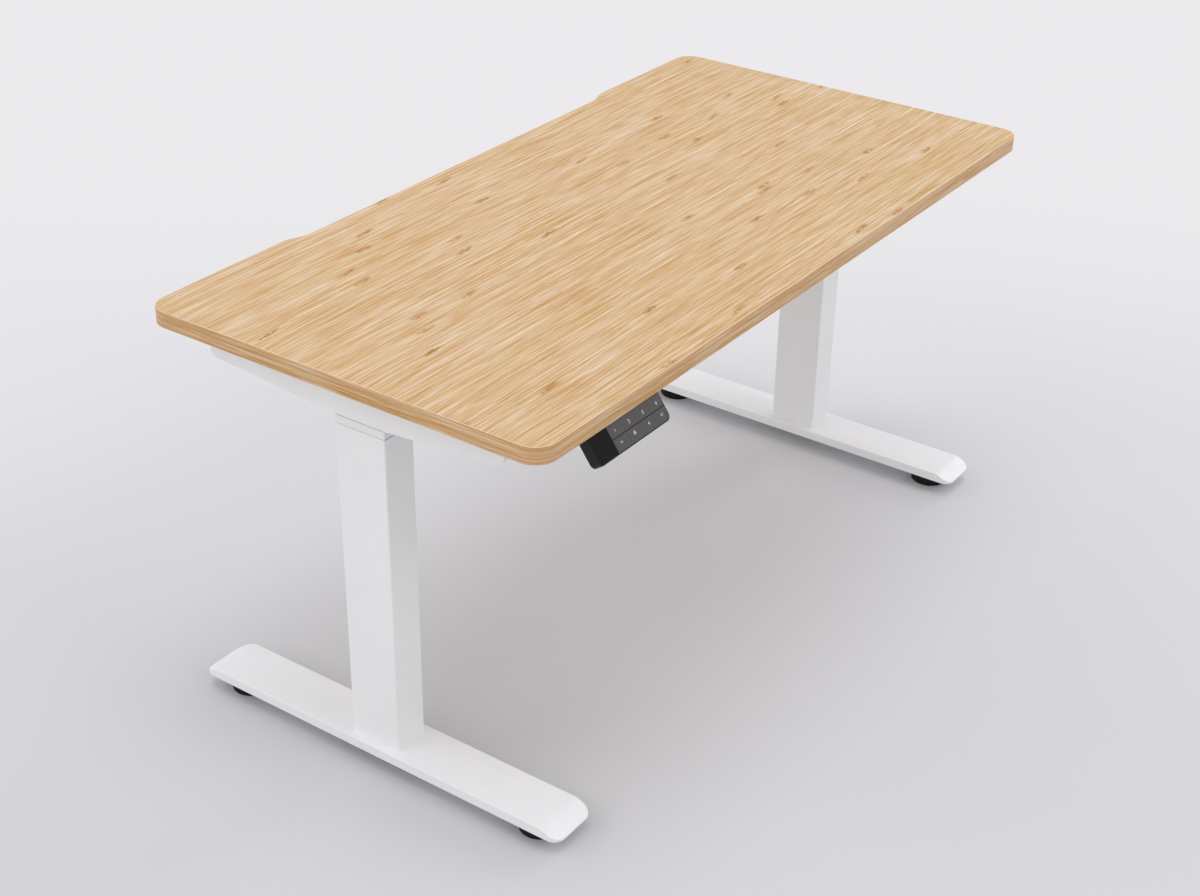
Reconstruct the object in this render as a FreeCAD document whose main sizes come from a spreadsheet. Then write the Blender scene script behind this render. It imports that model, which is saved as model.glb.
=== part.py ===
import FreeCAD, Part
import os
import re
import Sketcher

# Electric height-adjustable desk, millimetres. X runs along the desk, Y from the user's side to the
# back, Z up. The origin is on the floor under the middle of the whole desk, keypad included, so the
# legs and the middle of the desk top stand a little behind it. The desk is at its lowest.

DOC = FreeCAD.newDocument("standing_desk")
SHEET = DOC.addObject("Spreadsheet::Sheet", "Sizes")

SIZES = {
    # desk top
    "desk_length": 1400,
    "desk_depth": 700,
    "desk_thickness": 26,
    "desk_corner_radius": 35,
    "desk_edge_radius": 1.5,
    "cable_notch_length": 822,
    "cable_notch_run": 28,
    "cable_notch_depth": 13,
    "cable_notch_blend": 55,
    # where the two legs stand, from the ends of the top
    "leg_inset": 82,
    # foot: a pressed channel, open below, with sloped ends
    "foot_clearance": 24,
    "foot_side_height": 16,
    "foot_length": 698,
    "foot_width": 88,
    "foot_wall": 3,
    "foot_slope_run": 28,
    "foot_tip_height": 3,
    "foot_tip_block": 34,
    "foot_corner_radius": 18,
    "foot_bend_radius": 24,
    "foot_edge_radius": 1.2,
    "stiffener_length": 150,
    "stiffener_gap": 2,
    "stiffener_thickness": 6,
    # levelling feet
    "leveller_inset": 62,
    "leveller_radius": 33,
    "leveller_gap": 4,
    "leveller_edge": 3,
    "leveller_stud_radius": 5,
    "leveller_stud_gap": 1,
    "leveller_insert_radius": 9,
    "leveller_insert_length": 15,
    # column: outer tube, top collar, inner tube
    "column_width": 90,
    "column_depth": 60,
    "column_wall": 2,
    "column_corner": 2.5,
    "outer_tube_length": 534.7,
    "collar_height": 13,
    "collar_groove": 1.2,
    "collar_sleeve_length": 35,
    "column_gap": 3,
    "inner_wall": 2,
    "inner_corner": 2,
    "inner_floor_gap": 6,
    "glide_length": 40,
    "slide_clearance": 0.3,
    "rest_gap": 0.3,
    # spindle drive
    "base_plate_thickness": 8,
    "post_radius": 14,
    "post_wall": 2,
    "nut_length": 28,
    "nut_gap": 2,
    "spindle_radius": 8,
    "spindle_neck_radius": 6,
    "spindle_floor_gap": 12,
    "spindle_flange_radius": 13,
    "spindle_flange_thickness": 8,
    "spindle_stop_gap": 1.5,
    "spindle_stop_thickness": 2,
    "running_clearance": 0.05,
    "bearing_radius": 15,
    "bearing_thickness": 6,
    "gearbox_gap": 2,
    "gearbox_length": 36,
    "gearbox_bore_depth": 9,
    "motor_step": 2,
    "motor_length": 69,
    # head plate and side bracket
    "head_plate_thickness": 4,
    "head_plate_length": 150,
    "bracket_wall": 2.5,
    "bracket_web": 3,
    "bracket_middle_depth": 71,
    "bracket_end_depth": 53.5,
    "bracket_rear": 281,
    "bracket_front": 251,
    "bracket_end_radius": 14,
    "bracket_corner": 2,
    "bracket_screw_inset": 40,
    "bracket_screw_inner": 150,
    # cross beams
    "beam_spacing": 180,
    "beam_width": 30,
    "beam_height": 30,
    "beam_wall": 2,
    "beam_flange_width": 74,
    "beam_flange_thickness": 3,
    "beam_bolt_spacing": 52,
    "beam_bolt_radius": 3,
    "beam_nut_radius": 5.5,
    "beam_nut_thickness": 5,
    "beam_bolt_head_height": 4,
    "beam_bolt_end": 2,
    # bolts and screws
    "foot_bolt_radius": 4,
    "foot_bolt_head_radius": 7,
    "foot_bolt_head_height": 4.5,
    "foot_bolt_offset_x": 17,
    "foot_bolt_offset_y": 30,
    "foot_bolt_tip_gap": 1,
    "head_bolt_radius": 3,
    "head_bolt_head_radius": 5.5,
    "head_bolt_length": 12,
    "head_bolt_offset_x": 15,
    "head_bolt_offset_y": 60,
    "motor_screw_radius": 2,
    "motor_screw_head_radius": 3.6,
    "motor_screw_offset": 11,
    "motor_screw_length": 12,
    "wood_screw_radius": 2.2,
    "wood_screw_head_radius": 4.5,
    "wood_screw_head_height": 2.5,
    "wood_screw_length": 18,
    "pilot_hole_gap": 1,
    "hole_clearance": 0.3,
    # control box under the desk top
    "box_x": 150,
    "box_length": 230,
    "box_width": 104,
    "box_height": 36,
    "box_wall": 2.5,
    "box_lid_thickness": 3,
    "box_ear_length": 18,
    "box_ear_width": 24,
    "box_corner": 4,
    "board_end_gap": 3.5,
    "board_side_gap": 7.5,
    "board_thickness": 1.6,
    "board_post_height": 6,
    "board_post_radius": 3.5,
    "board_post_gap": 4.5,
    "board_post_inset": 6,
    "box_screw_radius": 1.5,
    "box_screw_head_radius": 3,
    "box_screw_head_height": 2,
    "box_screw_grip": 8,
    "transformer_length": 52,
    "transformer_width": 44,
    "transformer_height": 18,
    "capacitor_radius": 9,
    "capacitor_height": 16,
    "socket_width": 16,
    "socket_height": 11,
    "socket_depth": 18,
    "socket_wall": 1.5,
    "socket_spacing": 24,
    "inlet_width": 28,
    "inlet_height": 20,
    "inlet_depth": 20,
    "inlet_wall": 2,
    "inlet_side_gap": 3,
    "inlet_pin_length": 10,
    "inlet_pin_width": 4,
    "inlet_pin_thickness": 2,
    "inlet_pin_spacing": 7,
    "inlet_flange": 2.5,
    # keypad under the front edge, near the user's left end
    "keypad_inset": 180,
    "keypad_tilt": 36,
    "keypad_setback": 3,
    "keypad_width": 166,
    "keypad_face_height": 42,
    "keypad_top_depth": 13.5,
    "keypad_bottom_depth": 13.5,
    "keypad_corner_radius": 9,
    "keypad_wall": 1,
    "keypad_skin": 1.4,
    "keypad_rim": 1.6,
    "keypad_arris_radius": 0.9,
    "keypad_back_wall": 1.6,
    "keypad_back_rim": 6,
    "keypad_tongue_width": 130,
    "keypad_tongue_length": 36,
    "keypad_tongue_thickness": 3,
    "keypad_screw_offset": 52,
    "keypad_screw_inset": 10,
    "display_width": 43,
    "display_thickness": 0.8,
    "display_ledge": 2.5,
    "display_module_width": 32,
    "display_module_height": 16,
    "key_gap": 0.2,
    "key_row_gap": 1,
    "key_thickness": 2.4,
    "key_lip": 0.5,
    "key_lip_width": 15,
    "key_stem_radius": 1.6,
    "key_stem_length": 0.7,
    "key_travel_gap": 0.45,
    "keypad_board_depth": 4,
    "keypad_board_thickness": 1.2,
    "keypad_board_inset": 3,
    "switch_radius": 2.5,
}
SIZE_NAME = re.compile(r"\b(" + "|".join(sorted(SIZES, key=len, reverse=True)) + r")\b")

# Places and sizes that follow from the others.
LEG_X = "(desk_length / 2 - leg_inset)"
STIFFENER_WIDTH = "(foot_width - 2 * foot_wall - 2 * stiffener_gap)"
LEVELLER_Y = "(foot_length / 2 - leveller_inset)"
LEVELLER_HEIGHT = "(foot_clearance - leveller_gap)"
INNER_DEPTH = "(column_depth - 2 * column_wall - 2 * column_gap)"
INNER_WIDTH = "(column_width - 2 * column_wall - 2 * column_gap)"
SPINDLE_STOP_RADIUS = "(post_radius - post_wall - spindle_stop_gap)"
GEARBOX_RADIUS = f"({INNER_DEPTH} / 2 - inner_wall - gearbox_gap)"
MOTOR_RADIUS = f"({GEARBOX_RADIUS} - motor_step)"
BEAM_Y = "(beam_spacing / 2)"
BRACKET_SCREWS = ("(bracket_rear - bracket_screw_inset)", "bracket_screw_inner",
                  "-bracket_screw_inner", "(bracket_screw_inset - bracket_front)")
BOARD_LENGTH = "(box_length - 2 * box_wall - 2 * board_end_gap)"
BOARD_WIDTH = "(box_width - 2 * box_wall - 2 * board_side_gap)"
BOX_SCREW_X = "(box_length / 2 - inlet_depth - board_post_radius - board_post_gap)"
BOX_SCREW_Y = f"({BOARD_WIDTH} / 2 - board_post_inset)"
KEYPAD_X = "(desk_length / 2 - keypad_inset)"

# Heights above the floor, each worked out from the sizes.
FOOT_TOP = "(foot_clearance + foot_side_height)"
BASE_PLATE_TOP = f"({FOOT_TOP} + base_plate_thickness)"
TUBE_TOP = f"({FOOT_TOP} + outer_tube_length)"
COLLAR_TOP = f"({TUBE_TOP} + collar_height)"
BRACKET_BOTTOM = f"({COLLAR_TOP} + rest_gap)"
DESK_BOTTOM = f"({BRACKET_BOTTOM} + bracket_middle_depth)"
DESK_TOP = f"({DESK_BOTTOM} + desk_thickness)"
WEB_BOTTOM = f"({DESK_BOTTOM} - bracket_web)"
HEAD_BOTTOM = f"({WEB_BOTTOM} - head_plate_thickness)"
MOTOR_BOTTOM = f"({HEAD_BOTTOM} - motor_length)"
GEARBOX_BOTTOM = f"({MOTOR_BOTTOM} - gearbox_length)"
BEARING_BOTTOM = f"({GEARBOX_BOTTOM} - bearing_thickness)"
FLANGE_BOTTOM = f"({BEARING_BOTTOM} - spindle_flange_thickness)"
NUT_TOP = f"({FLANGE_BOTTOM} - nut_gap)"
NUT_BOTTOM = f"({NUT_TOP} - nut_length)"
SPINDLE_BOTTOM = f"({BASE_PLATE_TOP} + spindle_floor_gap)"
INNER_BOTTOM = f"({BASE_PLATE_TOP} + inner_floor_gap)"
WOOD_SCREW_SEAT = f"({DESK_BOTTOM} - bracket_web)"
BRACKET_INNER_X = f"({LEG_X} - column_depth / 2)"
BEAM_END_X = f"({BRACKET_INNER_X} - beam_flange_thickness)"
BEAM_MIDDLE_Z = f"({DESK_BOTTOM} - beam_height / 2)"
BOX_TOP = f"({DESK_BOTTOM} - box_lid_thickness)"
BOX_BOTTOM = f"({BOX_TOP} - box_height)"
BOARD_BOTTOM = f"({BOX_BOTTOM} + box_wall + board_post_height)"
BOARD_TOP = f"({BOARD_BOTTOM} + board_thickness)"
SOCKET_Z = f"({BOARD_TOP} + socket_height / 2)"
INLET_Z = f"(({BOARD_TOP} + {BOX_TOP}) / 2)"
INLET_Y = "(box_width / 2 - box_wall - inlet_side_gap - inlet_width / 2)"
FACE_Y = "(keypad_setback - desk_depth / 2)"
KEYS_WIDTH = "(keypad_width - 2 * keypad_rim - display_width)"
KEY_PITCH = f"({KEYS_WIDTH} / 4)"
KEY_HEIGHT = "((keypad_face_height - 2 * keypad_rim - key_row_gap) / 2)"

# The middle of the desk top lies this far behind the origin, because the keypad stands out in front.
MIDDLE_Y = "((keypad_face_height * sin(keypad_tilt) - keypad_setback) / 2)"

SIDES = (("left", -1), ("right", 1))
ENDS = (("front", -1), ("rear", 1))
CORNERS = tuple((across, along) for across in (-1, 1) for along in (-1, 1))
X_AXIS = FreeCAD.Vector(1, 0, 0)
Y_AXIS = FreeCAD.Vector(0, 1, 0)
Z_AXIS = FreeCAD.Vector(0, 0, 1)
TINY = 0.01


# ---------------------------------------------------------------- helpers

def in_sheet(text):
    """Return an expression with every size name pointing at the sheet."""
    return SIZE_NAME.sub(r"Sizes.\1", str(text))


def value(text):
    """Return the number that an expression gives now."""
    return float(SHEET.evalExpression(in_sheet(text)))


def bind(item, prop, text):
    """Tie a property of an object to an expression of the sheet's sizes."""
    item.setExpression(prop, in_sheet(text))


def fill_sheet():
    """Write the driving dimensions, one alias to a row."""
    for row, (name, number) in enumerate(SIZES.items(), start=1):
        SHEET.set(f"A{row}", name)
        SHEET.set(f"B{row}", str(number))
        SHEET.setAlias(f"B{row}", name)
    DOC.recompute()


def place(item, x="0", y="0", z="0", axis=None, angle="0"):
    """Tie an object's place, from the middle of the desk, and its turn about one axis to the sheet."""
    if axis is not None:
        item.Placement = FreeCAD.Placement(FreeCAD.Vector(), FreeCAD.Rotation(axis, value(angle)))
        bind(item, "Placement.Rotation.Angle", angle)
    bind(item, "Placement.Base.x", x)
    bind(item, "Placement.Base.y", f"{y} + {MIDDLE_Y}")
    bind(item, "Placement.Base.z", z)
    return item


def box(name, size, middle, bottom):
    """Make a box from its X, Y and Z sizes, its middle in plan and its lowest height."""
    item = DOC.addObject("Part::Box", name)
    for prop, text in zip(("Length", "Width", "Height"), size):
        bind(item, prop, text)
    return place(item, f"{middle[0]} - ({size[0]}) / 2", f"{middle[1]} - ({size[1]}) / 2", bottom)


def cylinder(name, radius, height, x, y, z, axis=None, angle="0"):
    """Make a cylinder that rises from its foot at x, y, z."""
    item = DOC.addObject("Part::Cylinder", name)
    bind(item, "Radius", radius)
    bind(item, "Height", height)
    return place(item, x, y, z, axis, angle)


def cone(name, low_radius, high_radius, height, x, y, z):
    """Make a cone frustum that rises from its foot at x, y, z."""
    item = DOC.addObject("Part::Cone", name)
    bind(item, "Radius1", low_radius)
    bind(item, "Radius2", high_radius)
    bind(item, "Height", height)
    return place(item, x, y, z)


def hexagon(name, radius, height, x, y, z, axis=None, angle="0"):
    """Make a hexagonal head or nut that rises from its foot at x, y, z."""
    item = DOC.addObject("Part::Prism", name)
    item.Polygon = 6
    bind(item, "Circumradius", radius)
    bind(item, "Height", height)
    return place(item, x, y, z, axis, angle)


def fuse(name, parts):
    """Join solids that touch into one."""
    item = DOC.addObject("Part::MultiFuse", name)
    item.Shapes = parts
    item.Refine = True
    return item


def group(name, parts):
    """Keep several separate solids in one object."""
    item = DOC.addObject("Part::Compound", name)
    item.Links = parts
    return item


def cut(name, base, tools):
    """Cut tools out of a base, one after the other."""
    for number, tool in enumerate(tools, start=1):
        item = DOC.addObject("Part::Cut", name if number == len(tools) else f"{name}_cut_{number}")
        item.Base = base
        item.Tool = tool
        base = item
    DOC.recompute()
    return item


def common(name, base, tool):
    """Keep what two solids share."""
    item = DOC.addObject("Part::Common", name)
    item.Base = base
    item.Tool = tool
    return item


def round_edges(name, base, radius, chosen):
    """Round the edges of a solid that a test picks out."""
    DOC.recompute()
    item = DOC.addObject("Part::Fillet", name)
    item.Base = base
    size = value(radius)
    item.Edges = [(n, size, size) for n, edge in enumerate(base.Shape.Edges, start=1) if chosen(edge)]
    return item


def body_origin_plane(body, role):
    """Return one of a body's own origin planes."""
    return next(item for item in body.Origin.OriginFeatures if item.Role == role)


def new_sketch(body, name, role, level):
    """Start a sketch on an origin plane of its body, raised to a level."""
    sketch = body.newObject("Sketcher::SketchObject", name)
    sketch.AttachmentSupport = [(body_origin_plane(body, role), "")]
    sketch.MapMode = "FlatFace"
    bind(sketch, "AttachmentOffset.Base.z", level)
    return sketch


def pin_point(sketch, item, point, u, v):
    """Fix a point of a sketch item at u, v from the sketch's origin."""
    for kind, text in (("DistanceX", u), ("DistanceY", v)):
        number = sketch.addConstraint(Sketcher.Constraint(kind, -1, 1, item, point, value(text)))
        sketch.setExpression(f"Constraints[{number}]", in_sheet(text))


def outline(body, name, role, corners, level="0"):
    """Draw a closed outline through corners that are given as expressions."""
    sketch = new_sketch(body, name, role, level)
    spots = [FreeCAD.Vector(value(u), value(v), 0) for u, v in corners]
    for start, end in zip(spots, spots[1:] + spots[:1]):
        sketch.addGeometry(Part.LineSegment(start, end))
    for item in range(len(spots)):
        sketch.addConstraint(Sketcher.Constraint("Coincident", item, 2, (item + 1) % len(spots), 1))
    for item, (u, v) in enumerate(corners):
        pin_point(sketch, item, 1, u, v)
    return sketch


def rectangle(body, name, role, size, middle=("0", "0"), level="0"):
    """Draw a rectangle of a size about a middle."""
    corners = [
        (f"{middle[0]} + {across} * ({size[0]}) / 2", f"{middle[1]} + {along} * ({size[1]}) / 2")
        for across, along in ((-1, -1), (1, -1), (1, 1), (-1, 1))
    ]
    return outline(body, name, role, corners, level)


def circles(body, name, role, radius, middles, level="0"):
    """Draw equal circles about several middles."""
    sketch = new_sketch(body, name, role, level)
    for item, (u, v) in enumerate(middles):
        middle = FreeCAD.Vector(value(u), value(v), 0)
        sketch.addGeometry(Part.Circle(middle, Z_AXIS, value(radius)))
        pin_point(sketch, item, 3, u, v)
        number = sketch.addConstraint(Sketcher.Constraint("Radius", item, value(radius)))
        sketch.setExpression(f"Constraints[{number}]", in_sheet(radius))
    return sketch


def pad(body, sketch, length, symmetric=False):
    """Raise a sketch along its normal."""
    feature = body.newObject("PartDesign::Pad", f"{sketch.Name}_pad")
    feature.Profile = sketch
    bind(feature, "Length", length)
    if symmetric:
        feature.SideType = "Symmetric"
    DOC.recompute()
    return feature


def pocket(body, sketch, depth, symmetric=False):
    """Cut a sketch upwards, along its normal, and make sure that it cut something."""
    volume = body.Shape.Volume
    feature = body.newObject("PartDesign::Pocket", f"{sketch.Name}_pocket")
    feature.Profile = sketch
    bind(feature, "Length", depth)
    feature.Reversed = True
    if symmetric:
        feature.SideType = "Symmetric"
    DOC.recompute()
    if not body.Shape.Volume < volume - TINY:
        raise RuntimeError(f"{feature.Name} cuts nothing")
    return feature


def fillet(body, name, radius, chosen):
    """Round the edges of a body's last feature that a test picks out."""
    base = body.Tip
    feature = body.newObject("PartDesign::Fillet", name)
    numbered = enumerate(base.Shape.Edges, start=1)
    feature.Base = (base, [f"Edge{number}" for number, edge in numbered if chosen(edge)])
    bind(feature, "Radius", radius)
    DOC.recompute()
    return feature


def bevel(body, name, size, chosen):
    """Bevel the edges of a body's last feature that a test picks out."""
    base = body.Tip
    feature = body.newObject("PartDesign::Chamfer", name)
    numbered = enumerate(base.Shape.Edges, start=1)
    feature.Base = (base, [f"Edge{number}" for number, edge in numbered if chosen(edge)])
    bind(feature, "Size", size)
    DOC.recompute()
    return feature


def countersink(body, name, size, radius, level):
    """Bevel the upper rim of round holes of a radius, so that a flat screw head sinks in."""
    rim = value(radius)
    height = value(level)
    return bevel(body, name, size, lambda edge: isinstance(edge.Curve, Part.Circle)
                 and lies_at(edge, Z_AXIS, height) and abs(edge.Curve.Radius - rim) < TINY)


def new_body(label):
    """Start a body whose label is the name of the piece."""
    return DOC.addObject("PartDesign::Body", label)


def runs_along(edge, axis):
    """Tell whether an edge is straight and parallel to an axis."""
    if not isinstance(edge.Curve, Part.Line):
        return False
    return abs(abs(edge.Curve.Direction.dot(axis)) - 1) < TINY


def lies_at(edge, axis, level):
    """Tell whether a whole edge lies in the plane at a level along an axis."""
    box_of = edge.BoundBox
    low = FreeCAD.Vector(box_of.XMin, box_of.YMin, box_of.ZMin).dot(axis)
    high = FreeCAD.Vector(box_of.XMax, box_of.YMax, box_of.ZMax).dot(axis)
    return abs(low - level) < TINY and abs(high - level) < TINY


def tube(label, size, wall, corner, length, x, z):
    """Make an upright rectangular tube with rounded corners."""
    body = new_body(label)
    pad(body, rectangle(body, f"{label}_outside", "XY_Plane", size), length)
    fillet(body, f"{label}_corners", corner, lambda edge: runs_along(edge, Z_AXIS))
    inside = (f"{size[0]} - 2 * {wall}", f"{size[1]} - 2 * {wall}")
    pocket(body, rectangle(body, f"{label}_inside", "XY_Plane", inside), length)
    return place(body, x, "0", z)


def reaches(edge, axis, distance):
    """Tell whether an edge gets as far from the middle as a distance, along X or Y."""
    bounds = edge.BoundBox
    return max(-getattr(bounds, f"{axis}Min"), getattr(bounds, f"{axis}Max")) > distance - TINY


def lies_in_plane(edge, normal, distance):
    """Tell whether an edge lies in the plane that is square to a slanting direction."""
    points = edge.discretize(5)
    return all(abs(point.dot(normal) - distance) < TINY for point in points)


# ---------------------------------------------------------------- desk top

def wood_screw_spots():
    """Return x and y of every wood screw that holds something to the desk top."""
    spots = []
    for _, side in SIDES:
        for y in BRACKET_SCREWS:
            spots.append((f"{side} * {LEG_X}", y))
        ear = "(box_length + box_ear_length) / 2"
        spots.append((f"box_x + {side} * {ear}", "0"))
        tongue = f"{keypad_tongue_start()} + keypad_tongue_length - keypad_screw_inset"
        spots.append((f"-{KEYPAD_X} + {side} * keypad_screw_offset", tongue))
    return spots


def make_desktop():
    """Make the solid bamboo top with its rounded corners and its cable notch at the back."""
    body = new_body("desktop")
    pad(body, rectangle(body, "desk_outline", "XY_Plane", ("desk_length", "desk_depth")), "desk_thickness")
    fillet(body, "desk_corners", "desk_corner_radius", lambda edge: runs_along(edge, Z_AXIS))
    half = "cable_notch_length / 2"
    notch = [
        (f"-({half})", "desk_depth / 2"),
        (f"cable_notch_run - {half}", "desk_depth / 2 - cable_notch_depth"),
        (f"{half} - cable_notch_run", "desk_depth / 2 - cable_notch_depth"),
        (half, "desk_depth / 2"),
        (half, "desk_depth / 2 + desk_thickness"),
        (f"-({half})", "desk_depth / 2 + desk_thickness"),
    ]
    pocket(body, outline(body, "notch_outline", "XY_Plane", notch), "desk_thickness")
    reach = value("cable_notch_length / 2") + TINY

    def at_notch(edge):
        return runs_along(edge, Z_AXIS) and abs(edge.BoundBox.XMin) < reach and edge.BoundBox.YMin > 0

    fillet(body, "notch_blends", "cable_notch_blend", at_notch)
    thickness = value("desk_thickness")
    fillet(body, "desk_arrises", "desk_edge_radius",
           lambda edge: lies_at(edge, Z_AXIS, 0) or lies_at(edge, Z_AXIS, thickness))
    holes = circles(body, "pilot_holes", "XY_Plane", "wood_screw_radius + running_clearance",
                    wood_screw_spots())
    pocket(body, holes, "wood_screw_length - bracket_web + pilot_hole_gap")
    place(body, z=DESK_BOTTOM)


def make_wood_screws():
    """Make the pan-head screws that come up into the desk top from below."""
    screws = []
    for number, (x, y) in enumerate(wood_screw_spots(), start=1):
        head = cylinder(f"wood_screw_head_{number}", "wood_screw_head_radius", "wood_screw_head_height",
                        x, y, f"{WOOD_SCREW_SEAT} - wood_screw_head_height")
        shank = cylinder(f"wood_screw_shank_{number}", "wood_screw_radius",
                         "wood_screw_length + wood_screw_head_height / 2",
                         x, y, f"{WOOD_SCREW_SEAT} - wood_screw_head_height / 2")
        screws.append(fuse(f"wood_screw_{number}", [head, shank]))
    group("wood_screws", screws)


# ---------------------------------------------------------------- foot

def foot_bolt_spots():
    """Return the four bolt places about a leg's middle."""
    return [(f"{across} * foot_bolt_offset_x", f"{along} * foot_bolt_offset_y") for across, along in CORNERS]


def make_foot(side, sign):
    """Make one foot: the pressed channel, its stiffener, weld nuts and levelling feet."""
    label = f"foot_shell_{side}"
    body = new_body(label)
    end = "foot_length / 2"
    profile = [
        (f"-({end})", "foot_clearance"),
        (end, "foot_clearance"),
        (end, "foot_clearance + foot_tip_height"),
        (f"{end} - foot_slope_run", FOOT_TOP),
        (f"foot_slope_run - {end}", FOOT_TOP),
        (f"-({end})", "foot_clearance + foot_tip_height"),
    ]
    pad(body, outline(body, f"{label}_profile", "YZ_Plane", profile), "foot_width", symmetric=True)
    bend = value(f"{end} - foot_slope_run")
    top = value(FOOT_TOP)
    fillet(body, f"{label}_bends", "foot_bend_radius",
           lambda edge: runs_along(edge, X_AXIS) and lies_at(edge, Z_AXIS, top)
           and abs(abs(edge.BoundBox.YMin) - bend) < TINY)
    fillet(body, f"{label}_plan_corners", "foot_corner_radius", lambda edge: runs_along(edge, Z_AXIS))
    low = value("foot_clearance")
    fillet(body, f"{label}_arrises", "foot_edge_radius", lambda edge: edge_of_foot_top(edge, low))
    hollow = ("foot_width - 2 * foot_wall", "foot_length - 2 * foot_tip_block")
    pocket(body, rectangle(body, f"{label}_hollow", "XY_Plane", hollow, level="foot_clearance"),
           "foot_side_height - foot_wall")
    hole_radius = "foot_bolt_radius + hole_clearance"
    pocket(body, circles(body, f"{label}_bolt_holes", "XY_Plane", hole_radius, foot_bolt_spots(),
                         level="foot_clearance"), "foot_side_height")
    leg_x = f"{sign} * {LEG_X}"
    place(body, leg_x)

    stiffener = new_body(f"foot_stiffener_{side}")
    plate = rectangle(stiffener, f"stiffener_{side}_outline", "XY_Plane",
                      (STIFFENER_WIDTH, "stiffener_length"))
    pad(stiffener, plate, "stiffener_thickness")
    pocket(stiffener, circles(stiffener, f"stiffener_{side}_holes", "XY_Plane", hole_radius,
                              foot_bolt_spots()), "stiffener_thickness")
    place(stiffener, leg_x, "0", f"{FOOT_TOP} - foot_wall - stiffener_thickness")

    inserts = []
    insert_bottom = f"{FOOT_TOP} - foot_wall - leveller_insert_length"
    for end_name, end_sign in ENDS:
        y = f"{end_sign} * {LEVELLER_Y}"
        name = f"{side}_{end_name}"
        outside = cylinder(f"insert_outside_{name}", "leveller_insert_radius", "leveller_insert_length",
                           leg_x, y, insert_bottom)
        bore = cylinder(f"insert_bore_{name}", "leveller_stud_radius + running_clearance",
                        "leveller_insert_length", leg_x, y, insert_bottom)
        inserts.append(cut(f"leveller_insert_{name}", outside, [bore]))
        make_leveller(f"leveller_{name}", leg_x, y)
    group(f"leveller_inserts_{side}", inserts)


def edge_of_foot_top(edge, low):
    """Tell whether an edge outlines the top of a foot, and not a bend across it."""
    if lies_at(edge, Z_AXIS, low) or runs_along(edge, Z_AXIS):
        return False
    across = edge.BoundBox.XMax - edge.BoundBox.XMin
    along = edge.BoundBox.YMax - edge.BoundBox.YMin
    return along > TINY or across < TINY


def make_leveller(label, x, y):
    """Make one levelling foot: a rubber-edged pad with its threaded stud."""
    disc = cylinder(f"{label}_disc", "leveller_radius", LEVELLER_HEIGHT, x, y, "0")
    soft = round_edges(f"{label}_pad", disc, "leveller_edge",
                       lambda edge: isinstance(edge.Curve, Part.Circle))
    length = f"{FOOT_TOP} - foot_wall - leveller_stud_gap - {LEVELLER_HEIGHT} / 2"
    stud = cylinder(f"{label}_stud", "leveller_stud_radius", length, x, y, f"{LEVELLER_HEIGHT} / 2")
    fuse(label, [soft, stud])


def make_foot_bolts(side, sign):
    """Make the four bolts that hold the column down on its foot."""
    seat = f"({FOOT_TOP} - foot_wall - stiffener_thickness)"
    bolts = []
    for number, (x, y) in enumerate(foot_bolt_spots(), start=1):
        leg_x = f"{sign} * {LEG_X} + {x}"
        name = f"foot_bolt_{side}_{number}"
        head = hexagon(f"{name}_head", "foot_bolt_head_radius", "foot_bolt_head_height",
                       leg_x, y, f"{seat} - foot_bolt_head_height")
        shank = cylinder(f"{name}_shank", "foot_bolt_radius",
                         f"{BASE_PLATE_TOP} - foot_bolt_tip_gap - {seat} + foot_bolt_head_height / 2",
                         leg_x, y, f"{seat} - foot_bolt_head_height / 2")
        bolts.append(fuse(name, [head, shank]))
    group(f"foot_bolts_{side}", bolts)


# ---------------------------------------------------------------- column and spindle

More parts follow.
